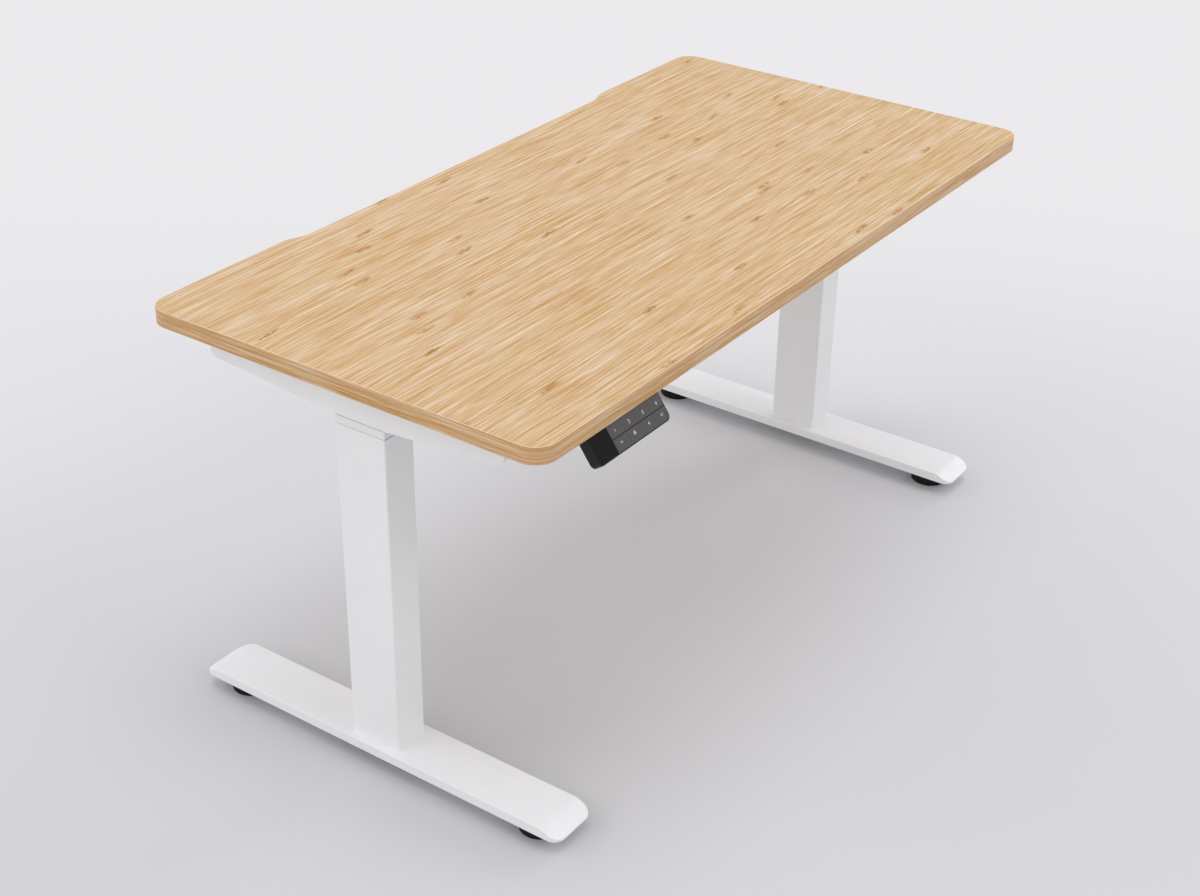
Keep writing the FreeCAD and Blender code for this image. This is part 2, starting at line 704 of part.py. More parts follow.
def make_fixed_column(side, sign):
    """Make what stands on the foot: outer tube, collar, nut post and spindle nut."""
    leg_x = f"{sign} * {LEG_X}"
    tube(f"column_outer_{side}", ("column_depth", "column_width"), "column_wall", "column_corner",
         "outer_tube_length", leg_x, FOOT_TOP)

    label = f"guide_collar_{side}"
    collar = new_body(label)
    sleeve = ("column_depth - 2 * column_wall", "column_width - 2 * column_wall")
    pad(collar, rectangle(collar, f"{label}_sleeve", "XY_Plane", sleeve,
                          level="-collar_sleeve_length"), "collar_sleeve_length + collar_height")
    ring = rectangle(collar, f"{label}_ring", "XY_Plane", ("column_depth", "column_width"))
    pad(collar, ring, "collar_height")
    depth = value("column_depth / 2")
    width = value("column_width / 2")
    fillet(collar, f"{label}_corners", "column_corner",
           lambda edge: runs_along(edge, Z_AXIS) and abs(abs(edge.BoundBox.XMin) - depth) < TINY
           and abs(abs(edge.BoundBox.YMin) - width) < TINY)
    bevel(collar, f"{label}_groove", "collar_groove",
          lambda edge: lies_at(edge, Z_AXIS, 0)
          and (reaches(edge, "X", depth) or reaches(edge, "Y", width)))
    opening = (f"{INNER_DEPTH} + 2 * slide_clearance", f"{INNER_WIDTH} + 2 * slide_clearance")
    pocket(collar, rectangle(collar, f"{label}_opening", "XY_Plane", opening,
                             level="-collar_sleeve_length"), "collar_sleeve_length + collar_height")
    place(collar, leg_x, "0", TUBE_TOP)

    label = f"nut_post_{side}"
    post = new_body(label)
    inside = ("column_depth - 2 * column_wall", "column_width - 2 * column_wall")
    pad(post, rectangle(post, f"{label}_plate", "XY_Plane", inside), "base_plate_thickness")
    pad(post, circles(post, f"{label}_tube", "XY_Plane", "post_radius", [("0", "0")],
                      level="base_plate_thickness"), f"{NUT_BOTTOM} - {BASE_PLATE_TOP}")
    pocket(post, circles(post, f"{label}_bore", "XY_Plane", "post_radius - post_wall", [("0", "0")],
                         level="base_plate_thickness"), f"{NUT_BOTTOM} - {BASE_PLATE_TOP}")
    pocket(post, circles(post, f"{label}_threads", "XY_Plane", "foot_bolt_radius + running_clearance",
                         foot_bolt_spots()), "base_plate_thickness")
    place(post, leg_x, "0", FOOT_TOP)

    outside = cylinder(f"lead_nut_outside_{side}", "post_radius", "nut_length", leg_x, "0", NUT_BOTTOM)
    bore = cylinder(f"lead_nut_bore_{side}", "spindle_radius + running_clearance", "nut_length",
                    leg_x, "0", NUT_BOTTOM)
    cut(f"lead_nut_{side}", outside, [bore])


def make_spindle(side, sign):
    """Make the lead screw with its drive neck, thrust flange and end stop."""
    leg_x = f"{sign} * {LEG_X}"
    shaft = cylinder(f"spindle_shaft_{side}", "spindle_radius", f"{BEARING_BOTTOM} - {SPINDLE_BOTTOM}",
                     leg_x, "0", SPINDLE_BOTTOM)
    flange = cylinder(f"spindle_flange_{side}", "spindle_flange_radius", "spindle_flange_thickness",
                      leg_x, "0", FLANGE_BOTTOM)
    neck_top = f"{GEARBOX_BOTTOM} + gearbox_bore_depth - nut_gap / 2"
    neck = cylinder(f"spindle_neck_{side}", "spindle_neck_radius", f"{neck_top} - {FLANGE_BOTTOM}",
                    leg_x, "0", FLANGE_BOTTOM)
    stop = cylinder(f"spindle_stop_{side}", SPINDLE_STOP_RADIUS, "spindle_stop_thickness",
                    leg_x, "0", SPINDLE_BOTTOM)
    fuse(f"lead_screw_{side}", [shaft, flange, neck, stop])


def make_drive(side, sign):
    """Make the geared motor that hangs in the inner tube, and the bearing under it."""
    leg_x = f"{sign} * {LEG_X}"
    motor = cylinder(f"motor_can_{side}", MOTOR_RADIUS, "motor_length", leg_x, "0", MOTOR_BOTTOM)
    gearbox = cylinder(f"gearbox_case_{side}", GEARBOX_RADIUS, "gearbox_length",
                       leg_x, "0", GEARBOX_BOTTOM)
    bore = cylinder(f"gearbox_bore_{side}", "spindle_neck_radius + running_clearance",
                    "gearbox_bore_depth", leg_x, "0", GEARBOX_BOTTOM)
    threads = []
    for end_name, end_sign in ENDS:
        threads.append(cylinder(f"motor_thread_{side}_{end_name}", "motor_screw_radius + running_clearance",
                                "motor_screw_length", leg_x, f"{end_sign} * motor_screw_offset",
                                f"{WEB_BOTTOM} - motor_screw_length - running_clearance"))
    cut(f"gear_motor_{side}", fuse(f"gear_motor_case_{side}", [motor, gearbox]), [bore] + threads)

    race = cylinder(f"bearing_outside_{side}", "bearing_radius", "bearing_thickness",
                    leg_x, "0", BEARING_BOTTOM)
    hole = cylinder(f"bearing_bore_{side}", "spindle_neck_radius + running_clearance",
                    "bearing_thickness", leg_x, "0", BEARING_BOTTOM)
    cut(f"thrust_bearing_{side}", race, [hole])


def make_inner_column(side, sign):
    """Make the inner tube with its glide shoe and head plate."""
    leg_x = f"{sign} * {LEG_X}"
    tube(f"column_inner_{side}", (INNER_DEPTH, INNER_WIDTH), "inner_wall", "inner_corner",
         f"{HEAD_BOTTOM} - {INNER_BOTTOM}", leg_x, INNER_BOTTOM)

    label = f"glide_shoe_{side}"
    shoe = new_body(label)
    outside = ("column_depth - 2 * column_wall - 2 * slide_clearance",
               "column_width - 2 * column_wall - 2 * slide_clearance")
    pad(shoe, rectangle(shoe, f"{label}_outside", "XY_Plane", outside), "glide_length")
    pocket(shoe, rectangle(shoe, f"{label}_inside", "XY_Plane", (INNER_DEPTH, INNER_WIDTH)),
           "glide_length")
    place(shoe, leg_x, "0", INNER_BOTTOM)

    label = f"head_plate_{side}"
    plate = new_body(label)
    size = ("column_depth - 2 * bracket_wall - 2 * slide_clearance", "head_plate_length")
    pad(plate, rectangle(plate, f"{label}_outline", "XY_Plane", size), "head_plate_thickness")
    pocket(plate, circles(plate, f"{label}_threads", "XY_Plane", "head_bolt_radius + running_clearance",
                          head_bolt_spots()), "head_plate_thickness")
    motor_hole = "motor_screw_radius + running_clearance"
    pocket(plate, circles(plate, f"{label}_motor_holes", "XY_Plane", motor_hole, motor_screw_spots()),
           "head_plate_thickness")
    countersink(plate, f"{label}_countersinks", "motor_screw_head_radius - motor_screw_radius",
                motor_hole, "head_plate_thickness")
    place(plate, leg_x, "0", HEAD_BOTTOM)


def head_bolt_spots():
    """Return the four bolt places that join a head plate to its bracket."""
    return [(f"{across} * head_bolt_offset_x", f"{along} * head_bolt_offset_y") for across, along in CORNERS]


def motor_screw_spots():
    """Return the two screw places that hold a motor to its head plate."""
    return [("0", f"{along} * motor_screw_offset") for _, along in ENDS]


def countersunk(name, radius, head_radius, length, x, y, top):
    """Make a countersunk screw that hangs from its flat head."""
    head_height = f"({head_radius} - {radius})"
    head = cone(f"{name}_head", radius, head_radius, head_height, x, y, f"{top} - {head_height}")
    shank = cylinder(f"{name}_shank", radius, length, x, y, f"{top} - {length}")
    return fuse(name, [head, shank])


def make_head_bolts():
    """Make the countersunk bolts of both brackets and the screws of both motors."""
    bolts = []
    for side, sign in SIDES:
        for number, (x, y) in enumerate(head_bolt_spots(), start=1):
            bolts.append(countersunk(f"head_bolt_{side}_{number}", "head_bolt_radius",
                                     "head_bolt_head_radius", "head_bolt_length",
                                     f"{sign} * {LEG_X} + {x}", y, DESK_BOTTOM))
        for number, (x, y) in enumerate(motor_screw_spots(), start=1):
            bolts.append(countersunk(f"motor_screw_{side}_{number}", "motor_screw_radius",
                                     "motor_screw_head_radius", "motor_screw_length",
                                     f"{sign} * {LEG_X} + {x}", y, WEB_BOTTOM))
    group("head_bolts", bolts)


# ---------------------------------------------------------------- side brackets and beams

def make_side_bracket(side, sign):
    """Make the pressed channel that carries the desk top over one leg."""
    label = f"side_bracket_{side}"
    body = new_body(label)
    flat = "column_width / 2"
    profile = [
        ("-bracket_front", DESK_BOTTOM),
        ("-bracket_front", f"{DESK_BOTTOM} - bracket_end_depth"),
        (f"-({flat})", BRACKET_BOTTOM),
        (flat, BRACKET_BOTTOM),
        ("bracket_rear", f"{DESK_BOTTOM} - bracket_end_depth"),
        ("bracket_rear", DESK_BOTTOM),
    ]
    pad(body, outline(body, f"{label}_profile", "YZ_Plane", profile), "column_depth", symmetric=True)
    ends = (value("-bracket_front"), value("bracket_rear"))
    low_corner = value(f"{DESK_BOTTOM} - bracket_end_depth")
    fillet(body, f"{label}_ends", "bracket_end_radius",
           lambda edge: runs_along(edge, X_AXIS) and lies_at(edge, Z_AXIS, low_corner)
           and min(abs(edge.BoundBox.YMin - end) for end in ends) < TINY)
    fillet(body, f"{label}_corners", "bracket_corner", lambda edge: runs_along(edge, Z_AXIS))
    hollow = ("column_depth - 2 * bracket_wall", "bracket_front + bracket_rear - 2 * bracket_wall")
    middle = ("0", "(bracket_rear - bracket_front) / 2")
    pocket(body, rectangle(body, f"{label}_hollow", "XY_Plane", hollow, middle, BRACKET_BOTTOM),
           "bracket_middle_depth - bracket_web")
    wood_holes = [("0", y) for y in BRACKET_SCREWS]
    pocket(body, circles(body, f"{label}_screw_holes", "XY_Plane", "wood_screw_radius + hole_clearance",
                         wood_holes, WEB_BOTTOM), "bracket_web")
    bolt_hole = "head_bolt_radius + running_clearance"
    pocket(body, circles(body, f"{label}_bolt_holes", "XY_Plane", bolt_hole, head_bolt_spots(),
                         WEB_BOTTOM), "bracket_web")
    countersink(body, f"{label}_countersinks", "head_bolt_head_radius - head_bolt_radius",
                bolt_hole, DESK_BOTTOM)
    beam_holes = [(f"{end} * {BEAM_Y} + {along} * beam_bolt_spacing / 2", BEAM_MIDDLE_Z)
                  for _, end in ENDS for along in (-1, 1)]
    inner_wall = "column_depth / 2 - bracket_wall" if sign < 0 else "-column_depth / 2"
    pocket(body, circles(body, f"{label}_beam_holes", "YZ_Plane", "beam_bolt_radius + hole_clearance",
                         beam_holes, inner_wall), "bracket_wall")
    place(body, f"{sign} * {LEG_X}")


def make_cross_beam(end, sign):
    """Make one cross beam: a square tube with a bolting flange welded on each end."""
    label = f"cross_beam_{end}"
    body = new_body(label)
    y = f"{sign} * {BEAM_Y}"
    tube_size = ("beam_width", "beam_height")
    pad(body, rectangle(body, f"{label}_outside", "YZ_Plane", tube_size, (y, BEAM_MIDDLE_Z)),
        f"2 * {BEAM_END_X}", symmetric=True)
    flange_size = ("beam_flange_width", "beam_height")
    for side, side_sign in SIDES:
        level = BEAM_END_X if side_sign > 0 else f"-{BEAM_END_X} - beam_flange_thickness"
        pad(body, rectangle(body, f"{label}_flange_{side}", "YZ_Plane", flange_size,
                            (y, BEAM_MIDDLE_Z), level), "beam_flange_thickness")
    hollow = ("beam_width - 2 * beam_wall", "beam_height - 2 * beam_wall")
    pocket(body, rectangle(body, f"{label}_hollow", "YZ_Plane", hollow, (y, BEAM_MIDDLE_Z),
                           f"-{BRACKET_INNER_X}"), f"2 * {BRACKET_INNER_X}")
    holes = [(f"{y} + {along} * beam_bolt_spacing / 2", BEAM_MIDDLE_Z) for along in (-1, 1)]
    pocket(body, circles(body, f"{label}_bolt_holes", "YZ_Plane", "beam_bolt_radius + hole_clearance",
                         holes, f"-{BRACKET_INNER_X}"), f"2 * {BRACKET_INNER_X}")
    place(body)


def make_beam_bolts():
    """Make the bolts and nuts that join the cross beams to the side brackets."""
    pieces = []
    grip = "(beam_flange_thickness + bracket_wall)"
    for side, side_sign in SIDES:
        turn = f"{side_sign} * 90"
        for end, end_sign in ENDS:
            for along in (-1, 1):
                name = f"{side}_{end}_{'inner' if along < 0 else 'outer'}"
                y = f"{end_sign} * {BEAM_Y} + {along} * beam_bolt_spacing / 2"
                head = hexagon(f"beam_bolt_head_{name}", "beam_nut_radius", "beam_bolt_head_height",
                               f"{side_sign} * ({BEAM_END_X} - beam_bolt_head_height)", y,
                               BEAM_MIDDLE_Z, Y_AXIS, turn)
                shank = cylinder(f"beam_bolt_shank_{name}", "beam_bolt_radius",
                                 f"beam_bolt_head_height / 2 + {grip} + beam_nut_thickness + beam_bolt_end",
                                 f"{side_sign} * ({BEAM_END_X} - beam_bolt_head_height / 2)", y,
                                 BEAM_MIDDLE_Z, Y_AXIS, turn)
                pieces.append(fuse(f"beam_bolt_{name}", [head, shank]))
                seat = f"{side_sign} * ({BEAM_END_X} + {grip})"
                outside = hexagon(f"beam_nut_outside_{name}", "beam_nut_radius", "beam_nut_thickness",
                                  seat, y, BEAM_MIDDLE_Z, Y_AXIS, turn)
                thread = cylinder(f"beam_nut_thread_{name}", "beam_bolt_radius + running_clearance",
                                  "beam_nut_thickness", seat, y, BEAM_MIDDLE_Z, Y_AXIS, turn)
                pieces.append(cut(f"beam_nut_{name}", outside, [thread]))
    group("beam_bolts", pieces)


# ---------------------------------------------------------------- control box

def box_screw_spots():
    """Return the four screw places of the control box."""
    return [(f"box_x + {across} * {BOX_SCREW_X}", f"{along} * {BOX_SCREW_Y}")
            for across, along in CORNERS]


def box_openings():
    """Return Y, Z, width and height of the motor sockets and, last, of the mains inlet."""
    sockets = [(f"{offset} * socket_spacing", SOCKET_Z, "socket_width", "socket_height")
               for offset in (-1, 0)]
    return sockets + [(INLET_Y, INLET_Z, "inlet_width", "inlet_height")]


def make_control_tray():
    """Make the tray of the control box, which opens upwards."""
    tray = new_body("control_tray")
    pad(tray, rectangle(tray, "tray_outline", "XY_Plane", ("box_length", "box_width")), "box_height")
    fillet(tray, "tray_corners", "box_corner", lambda edge: runs_along(edge, Z_AXIS))
    inside = ("box_length - 2 * box_wall", "box_width - 2 * box_wall")
    pocket(tray, rectangle(tray, "tray_inside", "XY_Plane", inside, level="box_wall"),
           "box_height - box_wall")
    posts = [(f"{across} * {BOX_SCREW_X}", f"{along} * {BOX_SCREW_Y}")
             for across, along in CORNERS]
    pad(tray, circles(tray, "tray_posts", "XY_Plane", "board_post_radius", posts, "box_wall"),
        "board_post_height")
    pocket(tray, circles(tray, "tray_screw_holes", "XY_Plane", "box_screw_radius + hole_clearance", posts),
           "box_wall + board_post_height")
    for number, (y, z, width, height) in enumerate(box_openings(), start=1):
        size = (f"{width} + 2 * running_clearance", f"{height} + 2 * running_clearance")
        pocket(tray, rectangle(tray, f"tray_opening_{number}", "YZ_Plane", size,
                               (y, f"{z} - {BOX_BOTTOM}"), "box_length / 2 - box_wall"), "box_wall")
    place(tray, "box_x", "0", BOX_BOTTOM)


def make_control_lid():
    """Make the lid, its two screwing ears and the bosses that take the box screws."""
    ears = box("lid_ears", ("box_length + 2 * box_ear_length", "box_ear_width", "box_lid_thickness"),
               ("box_x", "0"), BOX_TOP)
    cover = box("lid_cover", ("box_length", "box_width", "box_lid_thickness"), ("box_x", "0"), BOX_TOP)
    bosses = []
    holes = [cylinder(f"lid_hole_{side}", "wood_screw_radius + hole_clearance", "box_lid_thickness",
                      f"box_x + {sign} * (box_length + box_ear_length) / 2", "0", BOX_TOP)
             for side, sign in SIDES]
    for number, (x, y) in enumerate(box_screw_spots(), start=1):
        bosses.append(cylinder(f"lid_boss_{number}", "board_post_radius",
                               f"{DESK_BOTTOM} - {BOARD_TOP} - box_lid_thickness / 2", x, y, BOARD_TOP))
        holes.append(cylinder(f"lid_thread_{number}", "box_screw_radius + running_clearance",
                              "box_screw_grip + 1", x, y, BOARD_TOP))
    cut("control_lid", fuse("lid_plate", [cover, ears] + bosses), holes)


def make_control_board():
    """Make the circuit board with its transformer and capacitors, and the four box screws."""
    plate = box("board_plate", (BOARD_LENGTH, BOARD_WIDTH, "board_thickness"),
                ("box_x", "0"), BOARD_BOTTOM)
    transformer = box("board_transformer", ("transformer_length", "transformer_width",
                                            "transformer_height"),
                      (f"box_x - {BOARD_LENGTH} / 5", "0"), BOARD_TOP)
    capacitors = [cylinder(f"board_capacitor_{end}", "capacitor_radius", "capacitor_height",
                           f"box_x + {BOARD_LENGTH} / 8", f"{sign} * 1.4 * capacitor_radius", BOARD_TOP)
                  for end, sign in ENDS]
    holes = []
    screws = []
    for number, (x, y) in enumerate(box_screw_spots(), start=1):
        holes.append(cylinder(f"board_hole_{number}", "box_screw_radius + hole_clearance",
                              "board_thickness", x, y, BOARD_BOTTOM))
        head = cylinder(f"box_screw_head_{number}", "box_screw_head_radius", "box_screw_head_height",
                        x, y, f"{BOX_BOTTOM} - box_screw_head_height")
        shank = cylinder(f"box_screw_shank_{number}", "box_screw_radius",
                         f"{BOARD_TOP} + box_screw_grip - {BOX_BOTTOM} + box_screw_head_height / 2",
                         x, y, f"{BOX_BOTTOM} - box_screw_head_height / 2")
        screws.append(fuse(f"box_screw_{number}", [head, shank]))
    cut("control_board", fuse("board_assembly", [plate, transformer] + capacitors), holes)
    group("box_screws", screws)


def make_sockets():
    """Make the two motor sockets and the mains inlet with its three pins."""
    outer_x = "box_x + box_length / 2"
    openings = box_openings()
    sockets = []
    for number, (y, z, _, _) in enumerate(openings[:-1], start=1):
        shell = box(f"socket_shell_{number}", ("socket_depth", "socket_width", "socket_height"),
                    (f"{outer_x} - socket_depth / 2", y), f"{z} - socket_height / 2")
        mouth = box(f"socket_mouth_{number}", ("socket_depth", "socket_width - 2 * socket_wall",
                                               "socket_height - 2 * socket_wall"),
                    (f"{outer_x} - socket_depth / 2 + socket_wall", y),
                    f"{z} - socket_height / 2 + socket_wall")
        sockets.append(cut(f"motor_socket_{number}", shell, [mouth]))
    group("motor_sockets", sockets)

    y, z = openings[-1][:2]
    shell = box("inlet_shell", ("inlet_depth", "inlet_width", "inlet_height"),
                (f"{outer_x} - inlet_depth / 2", y), f"{z} - inlet_height / 2")
    flange = box("inlet_flange_plate", ("inlet_wall", "inlet_width + 2 * inlet_flange",
                                        "inlet_height + 2 * inlet_flange"),
                 (f"{outer_x} + inlet_wall / 2", y), f"{z} - inlet_height / 2 - inlet_flange")
    mouth = box("inlet_mouth", ("inlet_depth + inlet_wall", "inlet_width - 2 * inlet_wall",
                                "inlet_height - 2 * inlet_wall"),
                (f"{outer_x} - inlet_depth / 2 + inlet_wall * 1.5", y),
                f"{z} - inlet_height / 2 + inlet_wall")
    case = cut("inlet_case", fuse("inlet_block", [shell, flange]), [mouth])
    pin_size = ("inlet_pin_length + inlet_wall", "inlet_pin_thickness", "inlet_pin_width")
    pin_x = f"{outer_x} - inlet_depth + (inlet_pin_length + inlet_wall) / 2"
    pins = [box(f"inlet_pin_{number}", pin_size, (pin_x, f"{y} + {number - 2} * inlet_pin_spacing"),
                f"{z} - inlet_pin_width / 2") for number in (1, 2, 3)]
    fuse("power_inlet", [case] + pins)


# ---------------------------------------------------------------- keypad

def keypad_tongue_start():
    """Return Y where the keypad's back meets the underside of the desk top."""
    rise = "(keypad_top_depth * tan(keypad_tilt))"
    return f"({FACE_Y} + {rise} * sin(keypad_tilt) + keypad_top_depth * cos(keypad_tilt))"


def on_keypad(item, across, down, deep):
    """Set a piece in the keypad's tilted frame: across it, down its face and under its face."""
    sine = "sin(keypad_tilt)"
    cosine = "cos(keypad_tilt)"
    return place(item, f"-{KEYPAD_X} + {across}",
                 f"{FACE_Y} - ({down}) * {sine} + ({deep}) * {cosine}",
                 f"{DESK_BOTTOM} - ({down}) * {cosine} - ({deep}) * {sine}",
                 X_AXIS, "90 - keypad_tilt")


def face_box(name, size, middle, top, deep):
    """Make a box in the keypad's frame from its size, middle across, top edge and depth under the face."""
    item = DOC.addObject("Part::Box", name)
    for prop, text in zip(("Length", "Width", "Height"), size):
        bind(item, prop, text)
    return on_keypad(item, f"{middle} - ({size[0]}) / 2", f"{top} + {size[1]}", f"{deep} + {size[2]}")


def face_cylinder(name, radius, height, across, down, deep):
    """Make a cylinder in the keypad's frame that stands square to the face, from its lower end."""
    item = DOC.addObject("Part::Cylinder", name)
    bind(item, "Radius", radius)
    bind(item, "Height", height)
    return on_keypad(item, across, down, f"{deep} + {height}")


def face_outline(name, inset):
    """Make a block whose lower corners follow the keypad's own, inside its rim, less a further inset."""
    radius = f"(keypad_corner_radius - keypad_rim - {inset})"
    size = (f"keypad_width - 2 * keypad_rim - 2 * {inset}",
            f"keypad_face_height - 2 * keypad_rim - {inset} + 2 * {radius}", "2 * keypad_top_depth")
    block = face_box(f"{name}_block", size, "0", f"keypad_rim - 2 * {radius}", "-keypad_top_depth")
    tilt = value("keypad_tilt")
    outward = FreeCAD.Rotation(X_AXIS, 90 - tilt).multVec(Z_AXIS)
    return round_edges(name, block, radius, lambda edge: runs_along(edge, outward))


def make_keypad_case():
    """Make the keypad's tilted housing and its back cover."""
    sine = "sin(keypad_tilt)"
    cosine = "cos(keypad_tilt)"
    face_foot = (f"{FACE_Y} - keypad_face_height * {sine}",
                 f"{DESK_BOTTOM} - keypad_face_height * {cosine}")
    profile = [
        (FACE_Y, DESK_BOTTOM),
        face_foot,
        (f"{face_foot[0]} + keypad_bottom_depth * {cosine}",
         f"{face_foot[1]} - keypad_bottom_depth * {sine}"),
        (keypad_tongue_start(), DESK_BOTTOM),
    ]
    wedge = new_body("keypad_wedge")
    pad(wedge, outline(wedge, "keypad_profile", "YZ_Plane", profile), "keypad_width", symmetric=True)
    tilt = value("keypad_tilt")
    outward = FreeCAD.Rotation(X_AXIS, 90 - tilt).multVec(Z_AXIS)
    fillet(wedge, "keypad_corners", "keypad_corner_radius",
           lambda edge: runs_along(edge, outward))
    front = max(vertex.Point.dot(outward) for vertex in wedge.Tip.Shape.Vertexes)
    desk_level = value(DESK_BOTTOM)
    fillet(wedge, "keypad_arrises", "keypad_arris_radius",
           lambda edge: lies_in_plane(edge, outward, front) and not lies_at(edge, Z_AXIS, desk_level))
    place(wedge, f"-{KEYPAD_X}")

    inner_height = "(keypad_face_height - 2 * keypad_wall)"
    cavity_size = ("keypad_width - 2 * keypad_wall", inner_height, "2 * keypad_top_depth")
    cavity = round_edges("keypad_cavity", face_box("keypad_cavity_block", cavity_size, "0",
                                                   "keypad_wall", "keypad_skin"),
                         "keypad_corner_radius - keypad_wall", lambda edge: runs_along(edge, outward))
    display_middle = "-(keypad_width / 2 - keypad_rim - display_width / 2)"
    opening_height = "(keypad_face_height - 2 * keypad_rim)"
    recess = common("display_recess", face_outline("display_recess_outline", "0"),
                    face_box("display_recess_block", ("display_width", opening_height,
                                                      "2 * display_thickness"),
                             display_middle, "keypad_rim", "-display_thickness"))
    sight_size = ("display_width - 2 * display_ledge", f"{opening_height} - 2 * display_ledge",
                  "2 * keypad_skin")
    sight = face_box("display_sight", sight_size, display_middle, "keypad_rim + display_ledge", "0")
    keys_middle = "(keypad_width / 2 - keypad_rim - " + KEYS_WIDTH + " / 2)"
    key_window = common("key_window", face_outline("key_window_outline", "0"),
                        face_box("key_window_block", (KEYS_WIDTH, opening_height, "3 * keypad_skin"),
                                 keys_middle, "keypad_rim", "-keypad_skin"))
    shell = cut("keypad_shell", wedge, [cavity, recess, sight, key_window])
    tongue = box("keypad_tongue", ("keypad_tongue_width", "keypad_tongue_length + keypad_wall",
                                   "keypad_tongue_thickness"),
                 (f"-{KEYPAD_X}", f"{keypad_tongue_start()} + (keypad_tongue_length - keypad_wall) / 2"),
                 f"{DESK_BOTTOM} - keypad_tongue_thickness")
    hole_y = f"{keypad_tongue_start()} + keypad_tongue_length - keypad_screw_inset"
    holes = [cylinder(f"tongue_hole_{side}", "wood_screw_radius + hole_clearance",
                      "keypad_tongue_thickness", f"-{KEYPAD_X} + {sign} * keypad_screw_offset", hole_y,
                      f"{DESK_BOTTOM} - keypad_tongue_thickness") for side, sign in SIDES]
    cut("keypad_housing", fuse("keypad_frame", [shell, tongue]), holes)

    back_floor = "(keypad_board_depth + keypad_board_thickness)"
    back_size = ("keypad_width - 2 * keypad_wall - 2 * running_clearance",
                 f"{inner_height} - 2 * running_clearance", "2 * keypad_top_depth")
    back = round_edges("keypad_back_rounded",
                       face_box("keypad_back_block", back_size, "0", "keypad_wall + running_clearance",
                                back_floor),
                       "keypad_corner_radius - keypad_wall", lambda edge: runs_along(edge, outward))
    hollow = face_box("keypad_back_hollow", ("keypad_width - 2 * keypad_back_rim",
                                             "keypad_face_height - 2 * keypad_back_rim",
                                             f"keypad_bottom_depth - keypad_back_wall - {back_floor}"),
                      "0", "keypad_back_rim", back_floor)
    cut("keypad_back", common("keypad_back_cover", wedge, back), [hollow])

    common("display_window", face_outline("display_window_outline", "running_clearance"),
           face_box("display_window_block", ("display_width - 2 * running_clearance",
                                             f"{opening_height} - 2 * running_clearance",
                                             "display_thickness"),
                    display_middle, "keypad_rim + running_clearance", "0"))
    module_top = "(keypad_face_height - display_module_height) / 2"
    face_box("display_module", ("display_module_width", "display_module_height",
                                "keypad_board_depth - display_thickness"),
             display_middle, module_top, "display_thickness")


def key_spot(column, row):
    """Return the middle across and the top edge of a key."""
    across = f"(keypad_width / 2 - keypad_rim - (3.5 - {column}) * {KEY_PITCH})"
    top = f"(keypad_rim + {row} * ({KEY_HEIGHT} + key_row_gap))"
    return across, top


def make_keys():
    """Make the eight push keys and the circuit board with their switches."""
    rows = (("key_preset_1", "key_preset_2", "key_preset_3", "key_up"),
            ("key_down", "key_lock", "key_memory", "key_timer"))
    switches = []
    for row, names in enumerate(rows):
        for column, label in enumerate(names):
            across, top = key_spot(column, row)
            cap_top = f"{top} + {1 - row} * key_gap / 2"
            cap = face_box(f"{label}_cap", (f"{KEY_PITCH} - key_gap", f"{KEY_HEIGHT} - key_gap / 2",
                                            "key_thickness"), across, cap_top, "0")
            if row == 1 and column == 3:
                cap = common(f"{label}_rounded", face_outline(f"{label}_outline", "key_gap / 2"), cap)
            lip_top = f"{top} - key_lip" if row == 0 else f"{top} + {KEY_HEIGHT} - key_lip"
            lip = face_box(f"{label}_lip", ("key_lip_width", "2 * key_lip", "key_thickness - keypad_skin"),
                           across, lip_top, "keypad_skin")
            middle = f"{top} + {KEY_HEIGHT} / 2"
            stem = face_cylinder(f"{label}_stem", "key_stem_radius", "key_stem_length + key_lip",
                                 across, middle, "key_thickness - key_lip")
            fuse(label, [cap, lip, stem])
            dome_depth = "(key_thickness + key_stem_length + key_travel_gap)"
            switches.append(face_cylinder(f"switch_{label}", "switch_radius",
                                          f"keypad_board_depth - {dome_depth} + {TINY}",
                                          across, middle, dome_depth))
    board_size = ("keypad_width - 2 * keypad_wall - 2 * keypad_board_inset",
                  "keypad_face_height - 2 * keypad_wall - 2 * keypad_board_inset",
                  "keypad_board_thickness")
    plate = face_box("keypad_board_plate", board_size, "0", "keypad_wall + keypad_board_inset",
                     "keypad_board_depth")
    fuse("keypad_board", [plate] + switches)


# ---------------------------------------------------------------- build and write

def node_labels():
    """Return the label of every piece, in order."""
    labels = ["desktop", "wood_screws", "head_bolts", "beam_bolts"]
    paired = ("foot_shell", "foot_stiffener", "foot_bolts", "leveller_inserts", "column_outer",
              "guide_collar", "nut_post", "lead_nut", "column_inner", "glide_shoe", "head_plate",
              "side_bracket", "gear_motor", "thrust_bearing", "lead_screw")
    for side, _ in SIDES:
        labels += [f"{name}_{side}" for name in paired]
        labels += [f"leveller_{side}_{end}" for end, _ in ENDS]
    labels += [f"cross_beam_{end}" for end, _ in ENDS]
    labels += ["control_tray", "control_lid", "control_board", "box_screws", "motor_sockets", "power_inlet",
               "keypad_housing", "keypad_back", "display_window", "display_module", "keypad_board",
               "key_preset_1", "key_preset_2", "key_preset_3", "key_up",
               "key_down", "key_lock", "key_memory", "key_timer"]
    return labels


def check_document(pieces):
    """Stop if any object failed or any piece is null or not valid."""
    for item in DOC.Objects:
        if "Invalid" in item.State or "Error" in item.State:
            raise RuntimeError(f"{item.Label} is {item.State}")
    for item in pieces:
        if item.Shape.isNull() or not item.Shape.isValid() or not item.Shape.Solids:
            raise RuntimeError(f"{item.Label} has no valid solid")


